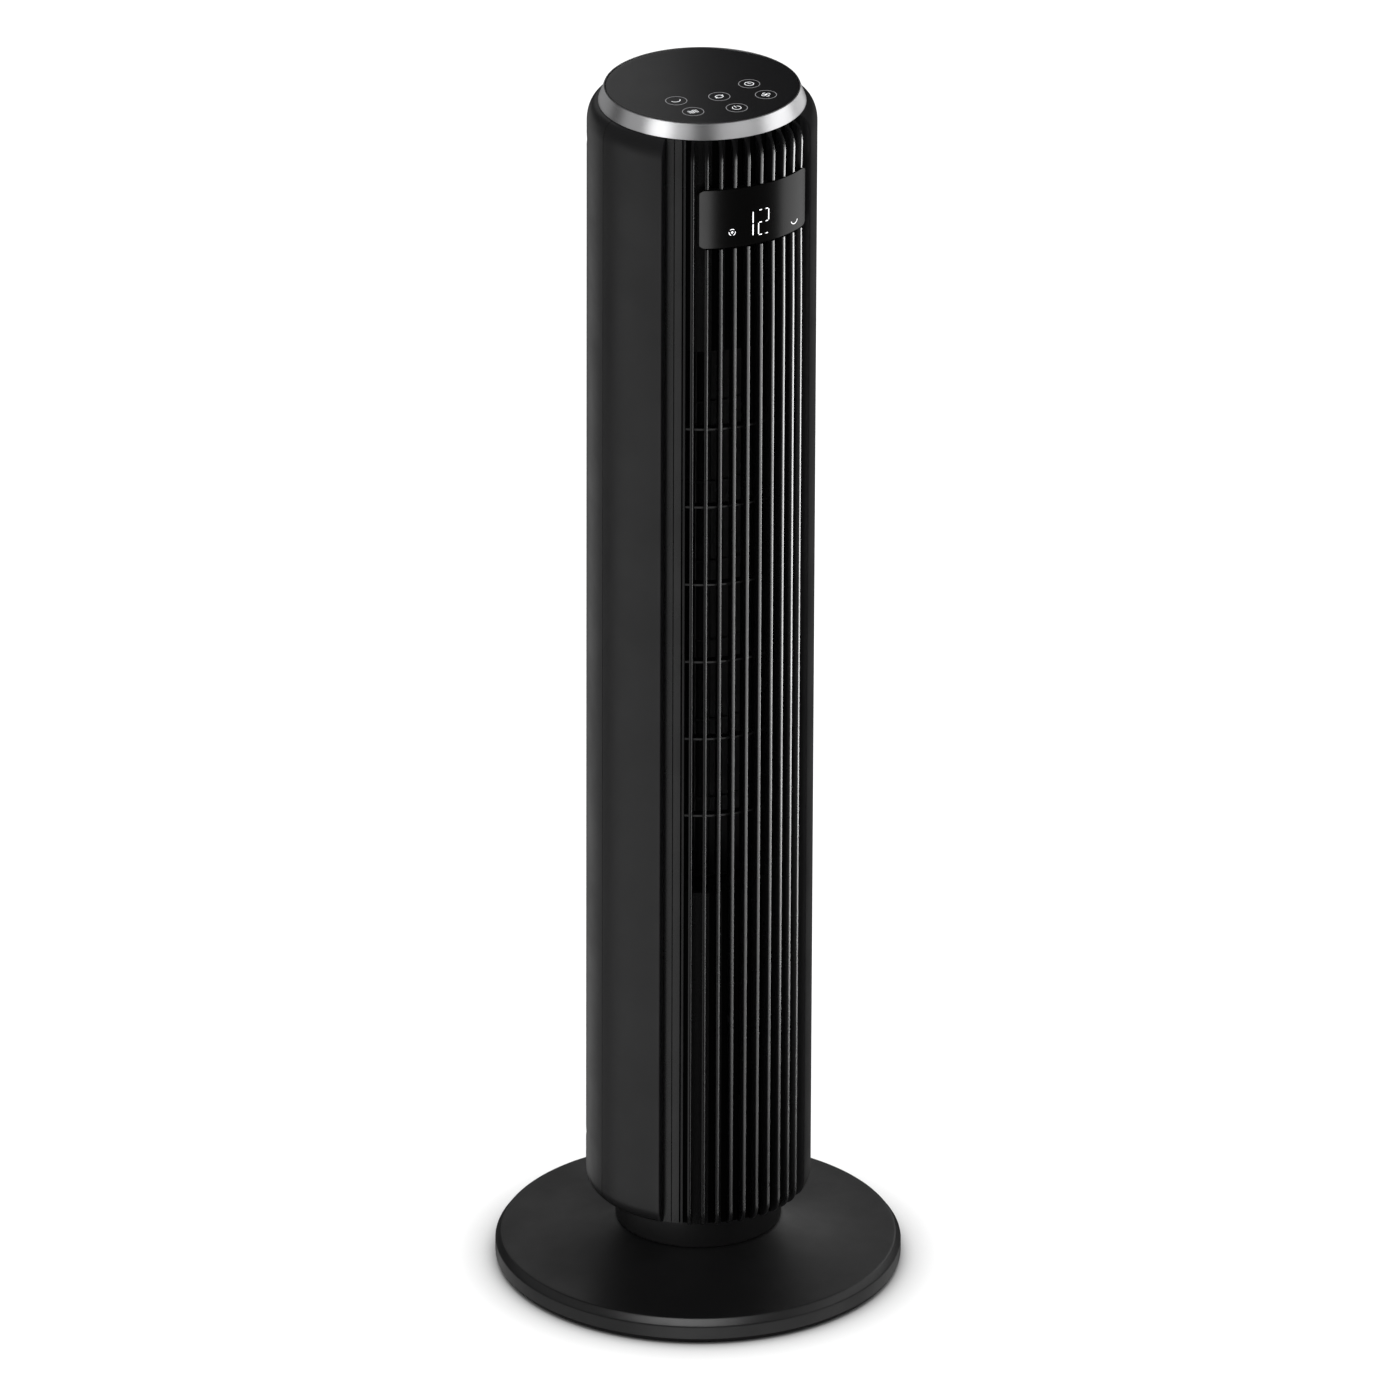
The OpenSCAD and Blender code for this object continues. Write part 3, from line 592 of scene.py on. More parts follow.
def make_base():
    """The turned base cover: chamfered rim, then a dish that flares up to the neck."""
    rim, flare_r = 14 * MM, BASE_R - 3.9 * MM
    flare_z, hub = 19.3 * MM, NECK_R + 0.3 * MM
    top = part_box("base_cover")[1].z
    steps = 48
    dish = [
        (flare_r - i / steps * (flare_r - hub), flare_z + (top - flare_z) * (i / steps) ** 2.4)
        for i in range(steps + 1)
    ]
    rim_points = [
        (BASE_R - 5 * MM, BASE_LOW), (BASE_R - 2.1 * MM, BASE_LOW), (BASE_R, BASE_LOW + 2.5 * MM),
        (BASE_R, rim), dish[0], dish[2],
    ]
    edge = soft_outline(rim_points, [0, 0.5 * MM, 0.8 * MM, 0.9 * MM, 1.0 * MM, 0])
    under = [(r, z - BASE_WALL) for r, z in reversed(dish)]
    outline = edge + dish[3:] + [(hub - 2 * MM, top), (BORE_R, top), (BORE_R, top - BASE_WALL)] + under
    outline += [(BASE_R - 4.5 * MM, rim - 1 * MM), (BASE_R - 5 * MM, rim - 2 * MM)]
    mesh = new_mesh("base_cover_turned", *lathe(outline, 192, closed=True))
    return piece("base_cover_turned", mesh, BASE, "base", ["base_cover"], 30)


def make_neck():
    outline = soft_outline(
        [(BORE_R, NECK_LOW), (NECK_R, NECK_LOW), (NECK_R, NECK_HIGH), (BORE_R, NECK_HIGH)],
        [0, 0.5 * MM, 0.5 * MM, 0],
    )
    mesh = new_mesh("neck_turned", *lathe(outline, 160, closed=True))
    piece("neck_turned", mesh, NECK, "base", ["neck_collar"], 30)


# ---------------------------------------------------------------------------
# Front shell
# ---------------------------------------------------------------------------


def wing_section(radius, edge, seam, soft=0.5 * MM):
    """Plan of one side of the front shell at a level: outer arc, window return and inner arc."""
    sign = 1 if seam > edge else -1
    deg = lambda length, r: math.degrees(length / r)
    inner = radius - WALL
    back = LINER_R - 2.1 * MM
    arc = spread(seam, edge + sign * deg(soft, radius), 1.5)
    plan = [(a, radius) for a in arc]
    plan += [(edge + sign * deg(soft * 0.3, radius), radius - soft * 0.3), (edge, radius - soft)]
    depth = radius - soft - back
    plan += [(edge, radius - soft - depth * i / 4) for i in (1, 2, 3, 4)]
    plan += [(edge + sign * deg(RETURN_T, back), back), (edge + sign * deg(RETURN_T, inner), inner)]
    plan += [(a, inner) for a in spread(edge + sign * deg(RETURN_T, inner), seam, 3.0)[1:]]
    return plan


def make_front_shell():
    levels = shoulder_levels(TOWER_LOW, TOWER_HIGH)
    parts = []
    for edge, seam in ((WINDOW[0], -90 + SEAM), (WINDOW[1], 90 - SEAM)):
        sections = []
        for z in levels:
            sections.append([at(a, r, z) for a, r in wing_section(outline_radius(z), edge, seam)])
        parts.append(loft(sections))
    angles = spread(WINDOW[0] - 1.4, WINDOW[1] + 1.4, 3)
    band, back = LINER_R - 0.1 * MM, LINER_R - 2.1 * MM
    for low, high in BANDS:
        ring = [[at(a, back, low), at(a, band, low), at(a, band, high), at(a, back, high)] for a in angles]
        parts.append(loft(ring))
    hole, wall, length = 1.8 * MM, 5.2 * MM, 25 * MM
    boss = lathe([(hole, 0), (wall, 0), (wall, length), (hole, length)], 32, closed=True)
    for side in (-1, 1):
        for z in SCREW_ROWS:
            turn = Matrix.Translation((side * SCREW_X, 0, z)) @ Matrix.Rotation(math.pi / 2, 4, "X")
            parts.append(moved(boss, turn))
    mesh = new_mesh("front_shell_moulded", *merged(*parts))
    piece("front_shell_moulded", mesh, SHELL, "tower", ["front_shell"], 40)


# ---------------------------------------------------------------------------
# Rear shell
# ---------------------------------------------------------------------------


def walled_grid(angles, levels, outer, inner, open_cell):
    """A curved wall on a grid of offsets and heights, closed round its edges and round each opening."""
    verts, index = [], {}
    for i, a in enumerate(angles):
        for k, z in enumerate(levels):
            for side, radius in enumerate((outer(a, z), inner(a, z))):
                index[i, k, side] = len(verts)
                verts.append(at(a, radius, z))
    faces = []
    columns, rows = len(angles) - 1, len(levels) - 1
    solid = lambda i, k: 0 <= i < columns and 0 <= k < rows and not open_cell(
        (angles[i] + angles[i + 1]) / 2, (levels[k] + levels[k + 1]) / 2
    )
    for i in range(columns):
        for k in range(rows):
            if not solid(i, k):
                continue
            corners = ((i, k), (i + 1, k), (i + 1, k + 1), (i, k + 1))
            faces.append(tuple(index[c[0], c[1], 0] for c in corners))
            faces.append(tuple(index[c[0], c[1], 1] for c in reversed(corners)))
            for (a, b), other in (
                ((0, 1), (i, k - 1)), ((1, 2), (i + 1, k)), ((2, 3), (i, k + 1)), ((3, 0), (i - 1, k))
            ):
                if not solid(*other):
                    p, q = corners[a], corners[b]
                    faces.append((index[*q, 0], index[*p, 0], index[*p, 1], index[*q, 1]))
    return verts, faces


def stops(marks, step):
    """The marks in order, with steps between them no longer than step."""
    marks = sorted(set(round(m, 7) for m in marks))
    result = []
    for a, b in zip(marks, marks[1:]):
        result += spread(a, b, step)[:-1]
    return result + [marks[-1]]


def make_inlet_grille():
    """The slotted panel in the back, with rows of upright air slots."""
    slots = [180 + i * SLOT_STEP for i in range(-SLOT_SIDE, SLOT_SIDE + 1)]
    rows = [SLOT_LOW + k * SLOT_PITCH for k in range(SLOT_ROWS)]
    edge = 0.35
    columns = stops(
        [180 + s * (INLET_HALF - t) for s in (-1, 1) for t in (0, edge * 0.4, edge)]
        + [s + d * (SLOT_HALF + t) for s in slots for d in (-1, 1) for t in (0, edge)], 2.6)
    levels = stops(
        [INLET_Z[0], INLET_Z[0] + 0.5 * MM, INLET_Z[1] - 0.5 * MM, INLET_Z[1]]
        + [z + d for z in rows for d in (-0.5 * MM, 0, SLOT_H, SLOT_H + 0.5 * MM)], 60 * MM)

    def slot_at(a, z, grow=0.0):
        in_row = any(r - grow * MM < z < r + SLOT_H + grow * MM for r in rows)
        return in_row and any(abs(a - s) < SLOT_HALF + grow * 0.7 for s in slots)

    def outer(a, z):
        at_edge = abs(a - 180) > INLET_HALF - 0.1 or not INLET_Z[0] + 0.1 * MM < z < INLET_Z[1] - 0.1 * MM
        return BODY_R - (0.35 * MM if at_edge or slot_at(a, z, 0.02) else 0)

    part = walled_grid(columns, levels, outer, lambda a, z: BODY_R - WALL, slot_at)
    mesh = new_mesh("inlet_panel", *part)
    piece("inlet_panel", mesh, SHELL, "tower", ["inlet_grille"], 60)


def boss_blank(side, z):
    """A screw boss of the rear shell, its far end cut to lie inside the wall."""
    radius, reach, steps = 7 * MM, BODY_R - 1.2 * MM, 40
    near, far = [], []
    for i in range(steps):
        x, up = SCREW_X + radius * math.cos(TAU * i / steps), z + radius * math.sin(TAU * i / steps)
        near.append(Vector((side * x, 0.5 * MM, up)))
        far.append(Vector((side * x, math.sqrt(reach ** 2 - x ** 2), up)))
    return loft([near, far])


def cutter(radius, start, length, matrix):
    """A cylinder along the matrix's Z axis, for a hole."""
    end = start + length
    return moved(lathe([(0, start), (radius, start), (radius, end), (0, end)], 48), matrix)


def make_rear_shell():
    hold = math.degrees(math.asin(HOLD_W / BODY_R))
    reach = INLET_HALF + math.degrees(INLET_GAP / BODY_R)
    window = (INLET_Z[0] - INLET_GAP, INLET_Z[1] + INLET_GAP)
    columns = stops([90 + SEAM, 270 - SEAM] + [180 + s * a for s in (-1, 1) for a in (hold, reach)], 2.6)
    levels = stops([*window, *HOLD_Z, *shoulder_levels(TOWER_LOW, TOWER_HIGH, 400 * MM)], 60 * MM)

    def is_open(a, z):
        if HOLD_Z[0] < z < HOLD_Z[1]:
            return abs(a - 180) < hold
        return window[0] < z < window[1] and abs(a - 180) < reach

    outer = lambda a, z: outline_radius(z)
    inner = lambda a, z: outline_radius(z) - WALL
    shell = helper_object("rear_wall", walled_grid(columns, levels, outer, inner, is_open))
    bosses = helper_object("rear_bosses", merged(*[boss_blank(s, z) for s in (-1, 1) for z in SCREW_ROWS]))
    cuts = []
    for s in (-1, 1):
        for z in SCREW_ROWS:
            turn = Matrix.Translation((s * SCREW_X, 0, z)) @ Matrix.Rotation(-math.pi / 2, 4, "X")
            cuts.append(cutter(5 * MM, SCREW_SEAT, 60 * MM, turn))
            cuts.append(cutter(2 * MM, -5 * MM, SCREW_SEAT + 10 * MM, turn))
    turn = Matrix.Translation((0, 0, GLAND_Z)) @ Matrix.Rotation(-math.pi / 2, 4, "X")
    cuts.append(cutter(8 * MM, 60 * MM, 40 * MM, turn))
    holes = helper_object("rear_holes", merged(*cuts))
    for obj in (shell, bosses, holes):
        bm = bmesh.new()
        bm.from_mesh(obj.data)
        bmesh.ops.recalc_face_normals(bm, faces=bm.faces)
        bm.to_mesh(obj.data)
        bm.free()
    for operation, tool in (("UNION", bosses), ("DIFFERENCE", holes)):
        step = shell.modifiers.new(operation.lower(), "BOOLEAN")
        step.operation = operation
        step.solver = "EXACT"
        step.object = tool
        step.use_self = True
    mesh = evaluated(shell)
    bpy.data.objects.remove(bosses)
    bpy.data.objects.remove(holes)
    front, back = BODY_R - WALL - 0.05 * MM, BODY_R - WALL - 2 * MM
    lips = []
    for side in (-1, 1):
        plan = [(side * 86, back), (side * 86, front), (side * 92, front), (side * 92, back)]
        lips.append(loft([[at(a, r, z) for a, r in plan] for z in (76 * MM, 890 * MM)]))
    bm = bmesh.new()
    bm.from_mesh(mesh)
    bm.from_mesh(new_mesh("seam_lips", *merged(*lips)))
    bm.to_mesh(mesh)
    bm.free()
    piece("rear_shell_moulded", mesh, SHELL, "tower", ["rear_shell"], 30)


# ---------------------------------------------------------------------------
# Outlet: floor, blades and ribs
# ---------------------------------------------------------------------------


def make_outlet_floor():
    """The curved floor behind the blades, with its opening, a groove beside each blade and a joint line; the
    groove bottoms carry painted shade.
    """
    line, half = -46.5, 0.26
    columns = stops([*WINDOW, *OUTLET_ANGLES], 1.8) + [line + s * half for s in (-1.02, -1, 1, 1.02)]
    feet = [i * BLADE_STEP for i in range(-BLADES_EACH_SIDE - 1, BLADES_EACH_SIDE + 1)]
    grooves = [(foot + GROOVE[0], foot + GROOVE[1]) for foot in feet]
    grooves[1] = NARROW_GROOVE  # the one beside the edge of the opening
    slope = 0.03
    columns += [a for low, high in grooves for a in (low, low + slope, high - slope, high)]
    columns = sorted(set(columns))
    levels = [TOWER_LOW, *spread(TOWER_LOW + 1 * MM, OUTLET[0], 80 * MM)]
    levels += spread(*OUTLET, 80 * MM)[1:] + spread(OUTLET[1], TOWER_HIGH, 60 * MM)[1:]

    def outer(a, z):
        if abs(a - line) < half * 1.01:
            return FLOOR_R - 1.3 * MM
        return FLOOR_R - (GROOVE_DEPTH if any(low + 0.01 < a < high - 0.01 for low, high in grooves) else 0)

    is_open = lambda a, z: OUTLET[0] < z < OUTLET[1] and OUTLET_ANGLES[0] < a < OUTLET_ANGLES[1]
    part = walled_grid(columns, levels, outer, lambda a, z: LINER_R, is_open)
    mesh = new_mesh("outlet_floor", *part)
    floor = piece("outlet_floor", mesh, GRILLE, "tower", ["outlet_grille"], 30)
    # The deep faces of the grooves take the second material, near-black painted shade.
    floor.data.materials.append(GROOVE_SHADE_PAINT)
    for face in floor.data.polygons:
        middle = face.center
        offset = math.degrees(math.atan2(middle.x, -middle.y))
        deep = math.hypot(middle.x, middle.y) < FLOOR_R - GROOVE_DEPTH / 3
        if deep and any(low <= offset <= high for low, high in grooves):
            face.material_index = 1


def blade_part(low, high, edge=0.42 * MM):
    """One outlet blade at the front, from low to high, its outer edges chamfered."""
    inset = 1e-5
    levels = shoulder_levels(max(low, TOWER_LOW) + inset, min(high, TOWER_HIGH) - inset)
    levels = sorted({low + inset, *levels, high - inset})
    half = BLADE_T / 2
    sections = []
    for z in levels:
        cap = min(z - low, high - z)
        soft = edge if cap > edge or outline_radius(z) < BODY_R - 1e-6 else cap
        r = outline_radius(z) - (edge - soft)
        rim = max(r - edge, FLOOR_R - 0.4 * MM)
        side = [(half, LINER_R + 0.6 * MM), (half, rim), (half - edge * 0.35, max(r - edge * 0.3, rim)),
                (half - edge, max(r, rim))]
        plan = [(-t, depth) for t, depth in side] + side[::-1]
        sections.append([Vector((t, -depth, z)) for t, depth in plan])
    return loft(sections)


def make_blades(ring_array):
    """The ten blades; all but the first stop above and below the display."""
    first = -BLADES_EACH_SIDE * BLADE_STEP
    nine = 2 * BLADES_EACH_SIDE + 1
    runs = [
        ("outlet_blade_full", blade_part(TOWER_LOW, TOWER_HIGH), 1, first - BLADE_STEP),
        ("outlet_blades_low", blade_part(TOWER_LOW, LENS_LOW - DISPLAY_GAP), nine, first),
        ("outlet_blades_high", blade_part(LENS_HIGH + DISPLAY_GAP, TOWER_HIGH), nine, first),
    ]
    blades = []
    for name, part, count, start in runs:
        values = dict(Count=count, First=math.radians(start), Step=math.radians(BLADE_STEP), Material=GRILLE)
        mesh = grown(name, part, ring_array, **values)
        blades.append(piece(name, mesh, GRILLE, "tower", sharp=50))
    return blades


def make_ribs(stack_array):
    """Flat ribs across the open part of the outlet, behind the blades."""
    bay = (OUTLET[1] - OUTLET[0]) / (RIBS + 1)
    z = OUTLET[0] + bay
    inner, outer, half = LINER_R - 5 * MM, FLOOR_R - 1 * MM, 1 * MM
    plan = soft_outline([(inner, z - half), (outer, z - half), (outer, z + half), (inner, z + half)],
                        [0.2 * MM, 0.4 * MM, 0.4 * MM, 0.2 * MM], closed=True)
    angles = spread(OUTLET_ANGLES[0] - 0.5, OUTLET_ANGLES[1] + 0.5, 2)
    part = loft([[at(a, r, h) for r, h in plan] for a in angles])
    mesh = grown("outlet_ribs", part, stack_array, Count=RIBS, Rise=bay, Material=GRILLE)
    return piece("outlet_ribs", mesh, GRILLE, "tower", sharp=50)


# ---------------------------------------------------------------------------
# Display
# ---------------------------------------------------------------------------


def lens_reach(x):
    """Half height of the window at a distance across from its middle."""
    half = (LENS_HIGH - LENS_LOW) / 2
    into = abs(x) - (LENS_W - LENS_CORNER)
    if into <= 0:
        return half
    return half - LENS_CORNER + math.sqrt(max(0.0, LENS_CORNER ** 2 - into ** 2))


def make_lens():
    """The curved display window with round corners and a soft front edge."""
    middle = (LENS_HIGH + LENS_LOW) / 2
    corner = [LENS_W - LENS_CORNER * (1 - math.sin(math.pi / 2 * i / 8)) for i in range(9)]
    straight = spread(-(LENS_W - LENS_CORNER), LENS_W - LENS_CORNER, 1.5 * MM)
    across = [-x for x in reversed(corner[1:])] + straight + corner[1:]
    front, back, soft = LENS_R, LENS_R - 1.5 * MM, 0.35 * MM
    sections = []
    for x in across:
        h = lens_reach(x)
        edge = min(soft, LENS_W - abs(x)) if abs(x) > LENS_W - soft else soft
        skirt, face = front - soft, front - soft + edge
        rows = [(face, -h + soft), (face, h - soft), (skirt, h), (back, h), (back, -h), (skirt, -h)]
        sections.append([Vector((x, -math.sqrt(r * r - x * x), middle + z)) for r, z in rows])
    mesh = new_mesh("display_window", *loft(sections))
    return piece("display_window", mesh, LENS, "tower", ["display_lens"], 40)


def on_lens(x, z, lift):
    """A point given by its distance round the window from the front and its height."""
    return at(math.degrees(x / LENS_R), LENS_R + lift, z)


def flat_strip(path, width, place, closed=False):
    """A thin raised line of even width along a path of (x, y), laid on a surface by place(x, y, lift)."""
    n = len(path)
    rings = []
    for i, p in enumerate(path):
        before = path[(i - 1) % n] if closed or i else p
        after = path[(i + 1) % n] if closed or i < n - 1 else p
        along = (Vector(after) - Vector(before)).normalized()
        side = Vector((-along.y, along.x)) * width / 2
        a, b = Vector(p) + side, Vector(p) - side
        rings.append([place(*a, 0), place(*b, 0), place(*b, INK_T), place(*a, INK_T)])
    if closed:
        rings.append(rings[0])
    return loft(rings, cap=not closed)


def bar(x0, z0, x1, z1, width, place):
    """A lit segment with pointed ends."""
    a, b = Vector((x0, z0)), Vector((x1, z1))
    along = (b - a).normalized()
    side = Vector((-along.y, along.x)) * width / 2
    tip = along * width / 2
    plan = [a, a + tip + side, b - tip + side, b, b - tip - side, a + tip - side]
    return loft([[place(*p, lift) for p in plan] for lift in (0, INK_T)])


SEGMENTS = {"1": "bc", "2": "abged"}


def digit(symbol, x, z, wide, high, width, place):
    """Seven-segment bars of one digit whose lower left corner is at x, z."""
    gap, middle, right, top = width * 0.6, z + high / 2, x + wide, z + high
    ends = {
        "a": (x + gap, top, right - gap, top), "g": (x + gap, middle, right - gap, middle),
        "d": (x + gap, z, right - gap, z), "b": (right, middle + gap, right, top - gap),
        "c": (right, z + gap, right, middle - gap), "e": (x, z + gap, x, middle - gap),
    }
    return [bar(*ends[s], width, place) for s in SEGMENTS[symbol]]


def arc_path(x, y, radius, start, end, step=12):
    angles = [math.radians(a) for a in spread(start, end, step)]
    return [(x + radius * math.cos(a), y + radius * math.sin(a)) for a in angles]


def disc(x, y, radius, place):
    ring = arc_path(x, y, radius, 0, 345, 15)
    return loft([[place(*p, lift) for p in ring] for lift in (0, INK_T)])


def make_display_marks():
    """Two seven-segment digits, a fan-speed mark and a sleep mark behind the window."""
    low, wide, high = 835.7 * MM, 8.4 * MM, 18.8 * MM
    line = 0.7 * MM
    parts = digit("1", -15.2 * MM, low, wide, high, line, on_lens)
    parts += digit("2", -2.4 * MM, low, wide, high, line, on_lens)
    fan_x, fan_z = -22.5 * MM, 840.7 * MM
    parts.append(disc(fan_x, fan_z, 0.75 * MM, on_lens))
    for start in (50, 170, 290):
        parts.append(flat_strip(arc_path(fan_x, fan_z, 2.3 * MM, start, start + 80), 0.4 * MM, on_lens))
    parts.append(flat_strip(arc_path(31.6 * MM, 838.6 * MM, 3.9 * MM, 200, 340), 0.5 * MM, on_lens))
    mesh = new_mesh("display_marks", *merged(*parts))
    piece("display_marks", mesh, LIT, "tower")


# ---------------------------------------------------------------------------
# Top: trim ring, touch panel and key marks
# ---------------------------------------------------------------------------


def make_top_ring():
    low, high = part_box("top_ring")[0].z, TOP
    outer, tip, inner = FLOOR_R, 69.2 * MM, PANEL_R + 0.3 * MM
    outline = soft_outline(
        [(inner, low), (outer, low), (tip + 0.35 * MM, high - 0.5 * MM), (tip, high), (inner, high)],
        [0, 0.3 * MM, 0.4 * MM, 0.3 * MM, 0.15 * MM], closed=True)
    mesh = new_mesh("trim_ring", *lathe(outline, 220, closed=True))
    return piece("trim_ring", mesh, RING, "tower", ["top_ring"], 40)


def make_panel():
    low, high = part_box("touch_panel")[0].z, PANEL_TOP
    edge = soft_outline([(PANEL_R, low), (PANEL_R, high), (0, high)], [0, 0.4 * MM, 0])
    outline = [(0, low)] + edge[:-1] + [(PANEL_R * s, high) for s in (0.95, 0.8, 0.6, 0.4, 0.2)] + [(0, high)]
    mesh = new_mesh("panel_disc", *lathe(outline, 220))
    piece("panel_disc", mesh, PANEL, "tower", ["touch_panel"], 40)


KEYS = {
    "mode": (-29.9, -37.1), "power": (0.0, -46.8), "speed": (29.9, -37.1),
    "sleep": (-30.0, -14.3), "swing": (0.0, -23.2), "timer": (30.0, -14.3),
}
KEY_R = 7.5 * MM


def key_mark(kind, x, y, place):
    """The line drawing of one touch key, of plain household symbols."""
    line = 0.45 * MM
    strip = lambda path, closed=False: flat_strip(path, line, place, closed=closed)
    if kind == "power":
        return [strip(arc_path(x, y, 3.1 * MM, 120, 420)), strip([(x, y + 0.6 * MM), (x, y + 3.9 * MM)])]
    if kind == "timer":
        return [strip(arc_path(x, y, 3.2 * MM, 0, 348), closed=True),
                strip([(x, y + 2.2 * MM), (x, y), (x + 1.5 * MM, y)])]
    if kind == "sleep":
        return [strip(arc_path(x, y + 1.6 * MM, 3.6 * MM, 195, 345))]
    if kind == "swing":
        arcs = ((y - 1 * MM, 25, 155), (y + 1 * MM, 205, 335))
        parts = [strip(arc_path(x, middle, 3.4 * MM, start, end)) for middle, start, end in arcs]
        for s in (-1, 1):
            tip_x, tip_y = x + s * 3.1 * MM, y + s * 0.3 * MM
            barbs = (tip_x - s * 1.5 * MM, tip_y + s * 0.2 * MM), (tip_x + s * 0.3 * MM, tip_y + s * 1.6 * MM)
            parts.append(strip([barbs[0], (tip_x, tip_y), barbs[1]]))
        return parts
    if kind == "speed":
        parts = [disc(x, y, 0.7 * MM, place)]
        for turn in range(0, 360, 90):
            a = math.radians(turn)
            cx, cy = x + 1.9 * MM * math.cos(a), y + 1.9 * MM * math.sin(a)
            parts.append(strip(arc_path(cx, cy, 1.3 * MM, turn - 60, turn + 170)))
        return parts
    wave = [(i * 0.5 * MM, 0.55 * MM * math.sin(i * 0.9)) for i in range(-7, 8)]
    return [strip([(x + dx, y + row * MM + dy) for dx, dy in wave]) for row in (-1.7, 0, 1.7)]


def make_key_marks(key_rings):
    on_panel = lambda x, y, lift: Vector((x, y, PANEL_TOP + lift))
    parts = [p for kind, (x, y) in KEYS.items() for p in key_mark(kind, x * MM, y * MM, on_panel)]
    piece("key_marks", new_mesh("key_marks", *merged(*parts)), INK, "tower")
    points = [(x * MM, y * MM, PANEL_TOP + INK_T / 2) for x, y in KEYS.values()]
    values = dict(Radius=KEY_R, Line=0.38 * MM, Thickness=INK_T, Material=OUTLINE_INK)
    mesh = grown("key_rings", (points, []), key_rings, **values)
    piece("key_rings", mesh, OUTLINE_INK, "tower")


# ---------------------------------------------------------------------------
# Studio
# ---------------------------------------------------------------------------


def make_floor():
    """A wide pale floor; it shows to the camera and takes shadows, and lights come from the lamps; an occlusion
    node paints contact shade into it next to the base.
    """
    size = 30
    corners = [(-size, -size, 0), (size, -size, 0), (size, size, 0), (-size, size, 0)]
    mesh = new_mesh("floor", corners, [(0, 1, 2, 3)])
    floor = bpy.data.objects.new("floor", mesh)
    bpy.context.scene.collection.objects.link(floor)
    material, tree, shader, vector = blank_material("pale_floor", specular=0.0)
    pale = mix_colour(tree, noise(tree, vector, 0.8), (0.92,) * 3, (0.94,) * 3)
    # Painted contact shade: the floor's colour is darkened where the base and tower stand close by.
    painted_contact_shade = add(tree, "ShaderNodeAmbientOcclusion", Color=pale, Distance=0.03)
    tree.links.new(painted_contact_shade.outputs["Color"], shader.inputs["Base Color"])
    shader.inputs["Roughness"].default_value = 0.9
    mesh.materials.append(material)
    return floor


def lamp(name, azimuth, elevation, distance, across, upright, radiance, aim=0.5, lit=None):
    """A soft lamp of even radiance, seen from the height it aims at under the angles across and upright."""
    data = bpy.data.lights.new(name, "AREA")
    data.shape = "RECTANGLE"
    data.size = 2 * distance * math.tan(math.radians(across / 2))
    data.size_y = 2 * distance * math.tan(math.radians(upright / 2))
    data.energy = radiance * math.pi * data.size * data.size_y
    obj = bpy.data.objects.new(name, data)
    bpy.context.scene.collection.objects.link(obj)
    a, e = math.radians(VIEW_AZIMUTH + azimuth), math.radians(elevation)
    back = Vector((math.sin(a) * math.cos(e), -math.cos(a) * math.cos(e), math.sin(e)))
    obj.location = Vector((0, 0, aim)) + back * distance
    obj.rotation_mode = "QUATERNION"
    obj.rotation_quaternion = back.to_track_quat("Z", "Y")
    obj.visible_camera = False
    obj.visible_diffuse = False
    obj.light_linking.receiver_collection = lit
    return obj


def group_of(name, pieces, state="INCLUDE"):
    """A collection that a lamp lights alone, or leaves out."""
    group = bpy.data.collections.new(name)
    for part in pieces:
        group.objects.link(part)
    for entry in group.collection_objects:
        entry.light_linking.link_state = state
    return group


# Name, bearing from the camera's, elevation, distance, angle across, angle upright, radiance, height aimed at
GENERAL_LAMPS = [
    ("left_sheet", -68, -25, 2.4, 53, 49, 0.55, 0.5),
    ("left_strip", -27, -25, 2.4, 17, 45, 0.9, 0.5),
    ("left_rim", -140, -22, 2.4, 35, 53, 0.42, 0.5),
    ("right_side", 150, -22, 2.4, 28, 53, 0.12, 0.5),
    ("panel_back", -160, 25, 0.8, 35, 35, 0.32, 0.92),
]
EDGE_LAMPS = [
    ("edge_mid", 50, -25, 2.6, 56, 30, 3.6, 0.86),
    ("edge_right", 105, -25, 2.6, 42, 22, 13.0, 0.86),
]
RIB_LAMPS = [("rib_front", 10, -25, 2.4, 50, 40, 0.8, 0.55)]
RING_LAMPS = [
    ("ring_a", -46, 12, 2.4, 28, 24, 2.1, 0.91),
    ("ring_b", -84, 6, 2.4, 24, 24, 0.42, 0.91),
    ("ring_c", -140, -8, 2.4, 50, 28, 0.26, 0.91),
    ("ring_d", -18, 15, 2.4, 14, 24, 0.8, 0.91),
    ("ring_e", 38, 14, 2.4, 44, 24, 0.72, 0.91),
    ("ring_f", 93, 4, 2.4, 46, 26, 1.5, 0.91),
    ("ring_g", 140, -9, 2.4, 34, 26, 0.76, 0.91),
]
LENS_LAMPS = [
    ("lens_left", -4, -25, 2.4, 24, 24, 2.1, 0.85),
    ("lens_right", 106, -25, 2.4, 38, 34, 1.15, 0.85),
]
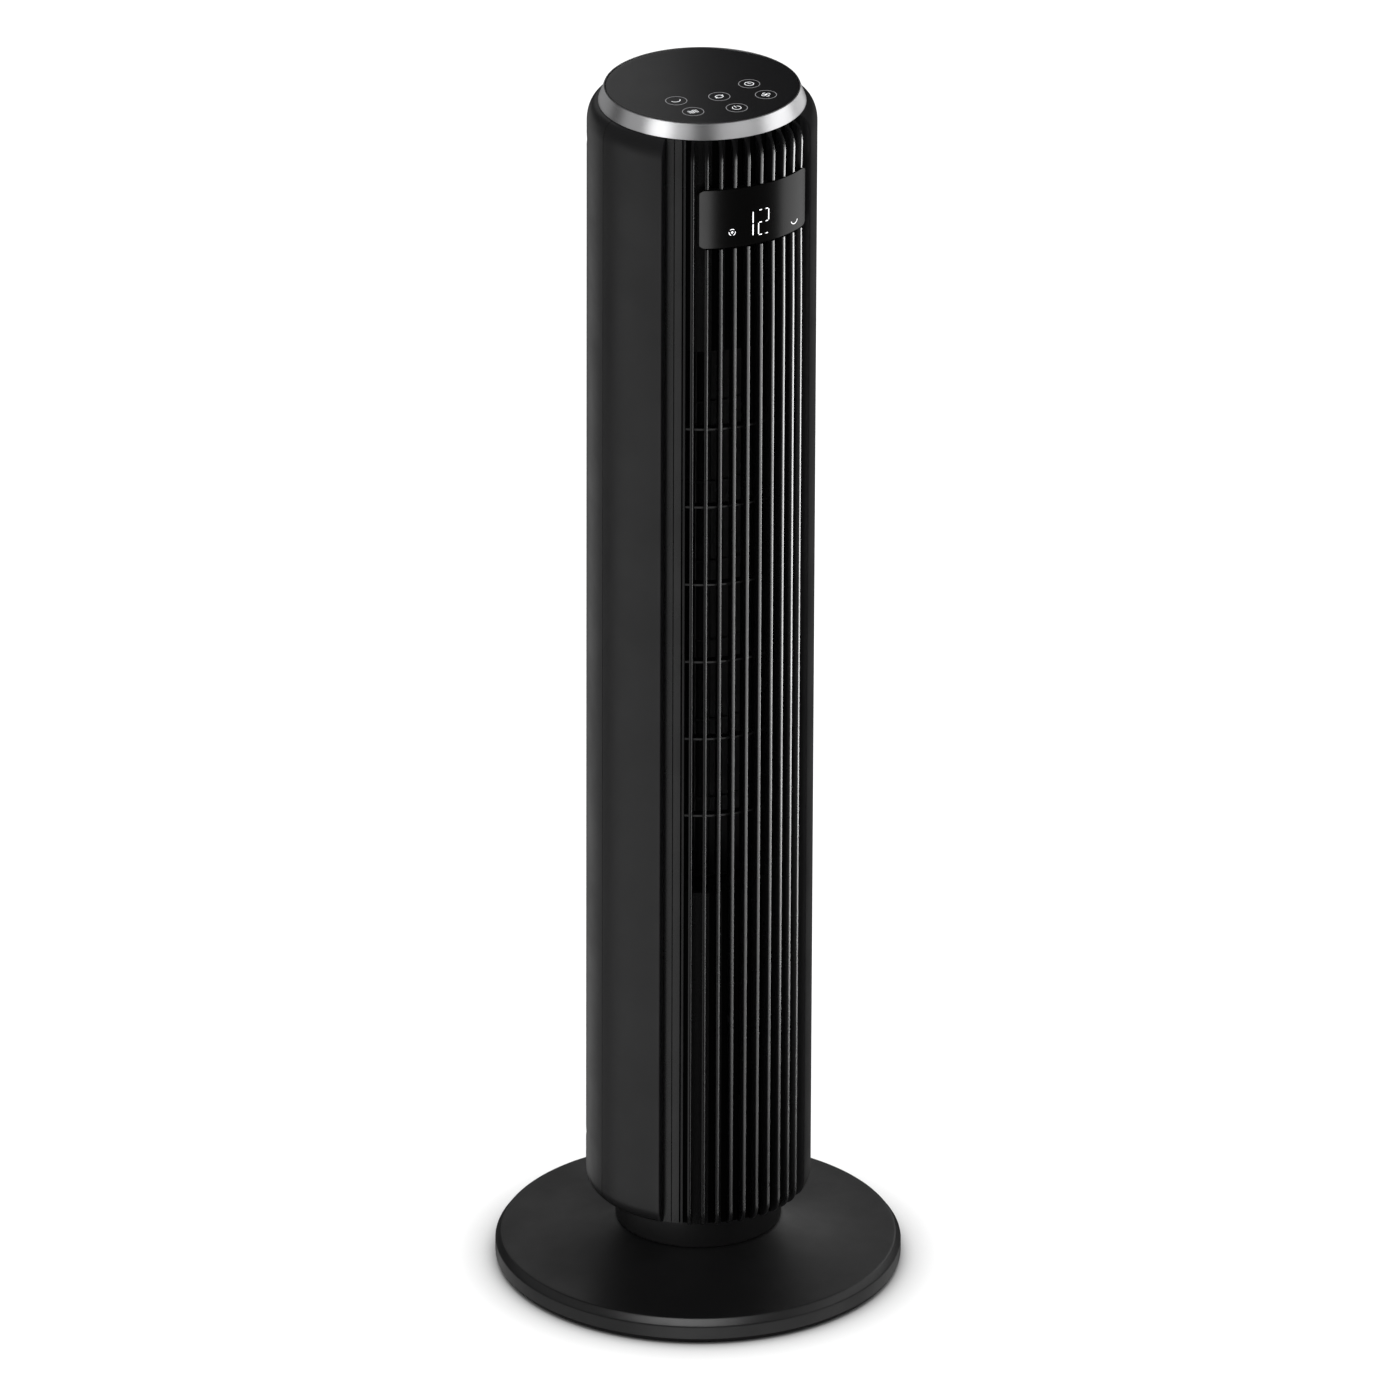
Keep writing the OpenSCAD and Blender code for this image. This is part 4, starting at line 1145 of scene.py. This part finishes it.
BASE_LAMPS = [
    ("rim_mid", -4, -25, 2.4, 48, 24, 1.5, 0.01),
    ("rim_left", -62, -25, 2.4, 54, 24, 0.62, 0.01),
    ("rim_right", 56, -25, 2.4, 56, 24, 0.95, 0.01),
    ("rim_far_left", -125, -25, 2.4, 60, 24, 0.4, 0.01),
    ("rim_far_right", 118, -25, 2.4, 60, 24, 0.5, 0.01),
    ("chamfer_mid", -8, 46, 1.4, 40, 24, 5.6, 0.02),
    ("chamfer_left", -90, 28, 1.4, 60, 26, 0.35, 0.02),
    ("chamfer_right", 96, 26, 1.4, 70, 30, 1.05, 0.02),
    ("dish_back", 180, 25, 1.8, 76, 25, 0.38, 0.05),
    ("dish_right", 146, 25, 1.8, 34, 25, 0.65, 0.05),
]


def make_studio(blades, ribs, ring, lens, base):
    floor = make_floor()
    floor.visible_glossy = False
    floor.visible_diffuse = False
    floor.visible_shadow = False
    world = bpy.data.worlds.new("studio")
    world.use_nodes = True
    tree = world.node_tree
    shade = tree.nodes["Background"]
    shade.inputs["Color"].default_value = (1, 1, 1, 1)
    path = tree.nodes.new("ShaderNodeLightPath")
    tree.links.new(between(tree, path.outputs["Is Glossy Ray"], 1.0, 0.04), shade.inputs["Strength"])
    bpy.context.scene.world = world
    overhead = lamp("overhead", 0, 88, 3.6, 45, 45, 2.4)
    overhead.visible_diffuse = True
    overhead.visible_glossy = False
    others = group_of("all_but_trim", [ribs, ring, lens, base], "EXCLUDE")
    for lamps, lit in (
            (GENERAL_LAMPS, others), (EDGE_LAMPS, group_of("blade_edges", blades)),
            (RIB_LAMPS, group_of("rib_fronts", [ribs])), (RING_LAMPS, group_of("trim", [ring])),
            (LENS_LAMPS, group_of("window", [lens])), (BASE_LAMPS, group_of("base_only", [base]))):
        for values in lamps:
            lamp(*values, lit)
    bpy.context.scene.view_settings.view_transform = "Standard"


# ---------------------------------------------------------------------------
# The whole fan
# ---------------------------------------------------------------------------


def main():
    make_camera()
    dress_cad_nodes()
    base = make_base()
    make_neck()
    make_front_shell()
    make_rear_shell()
    make_inlet_grille()
    make_outlet_floor()
    blades = make_blades(ring_array_tree())
    ribs = make_ribs(stack_array_tree())
    lens = make_lens()
    make_display_marks()
    ring = make_top_ring()
    make_panel()
    make_key_marks(key_ring_tree())
    make_studio(blades, ribs, ring, lens, base)


main()
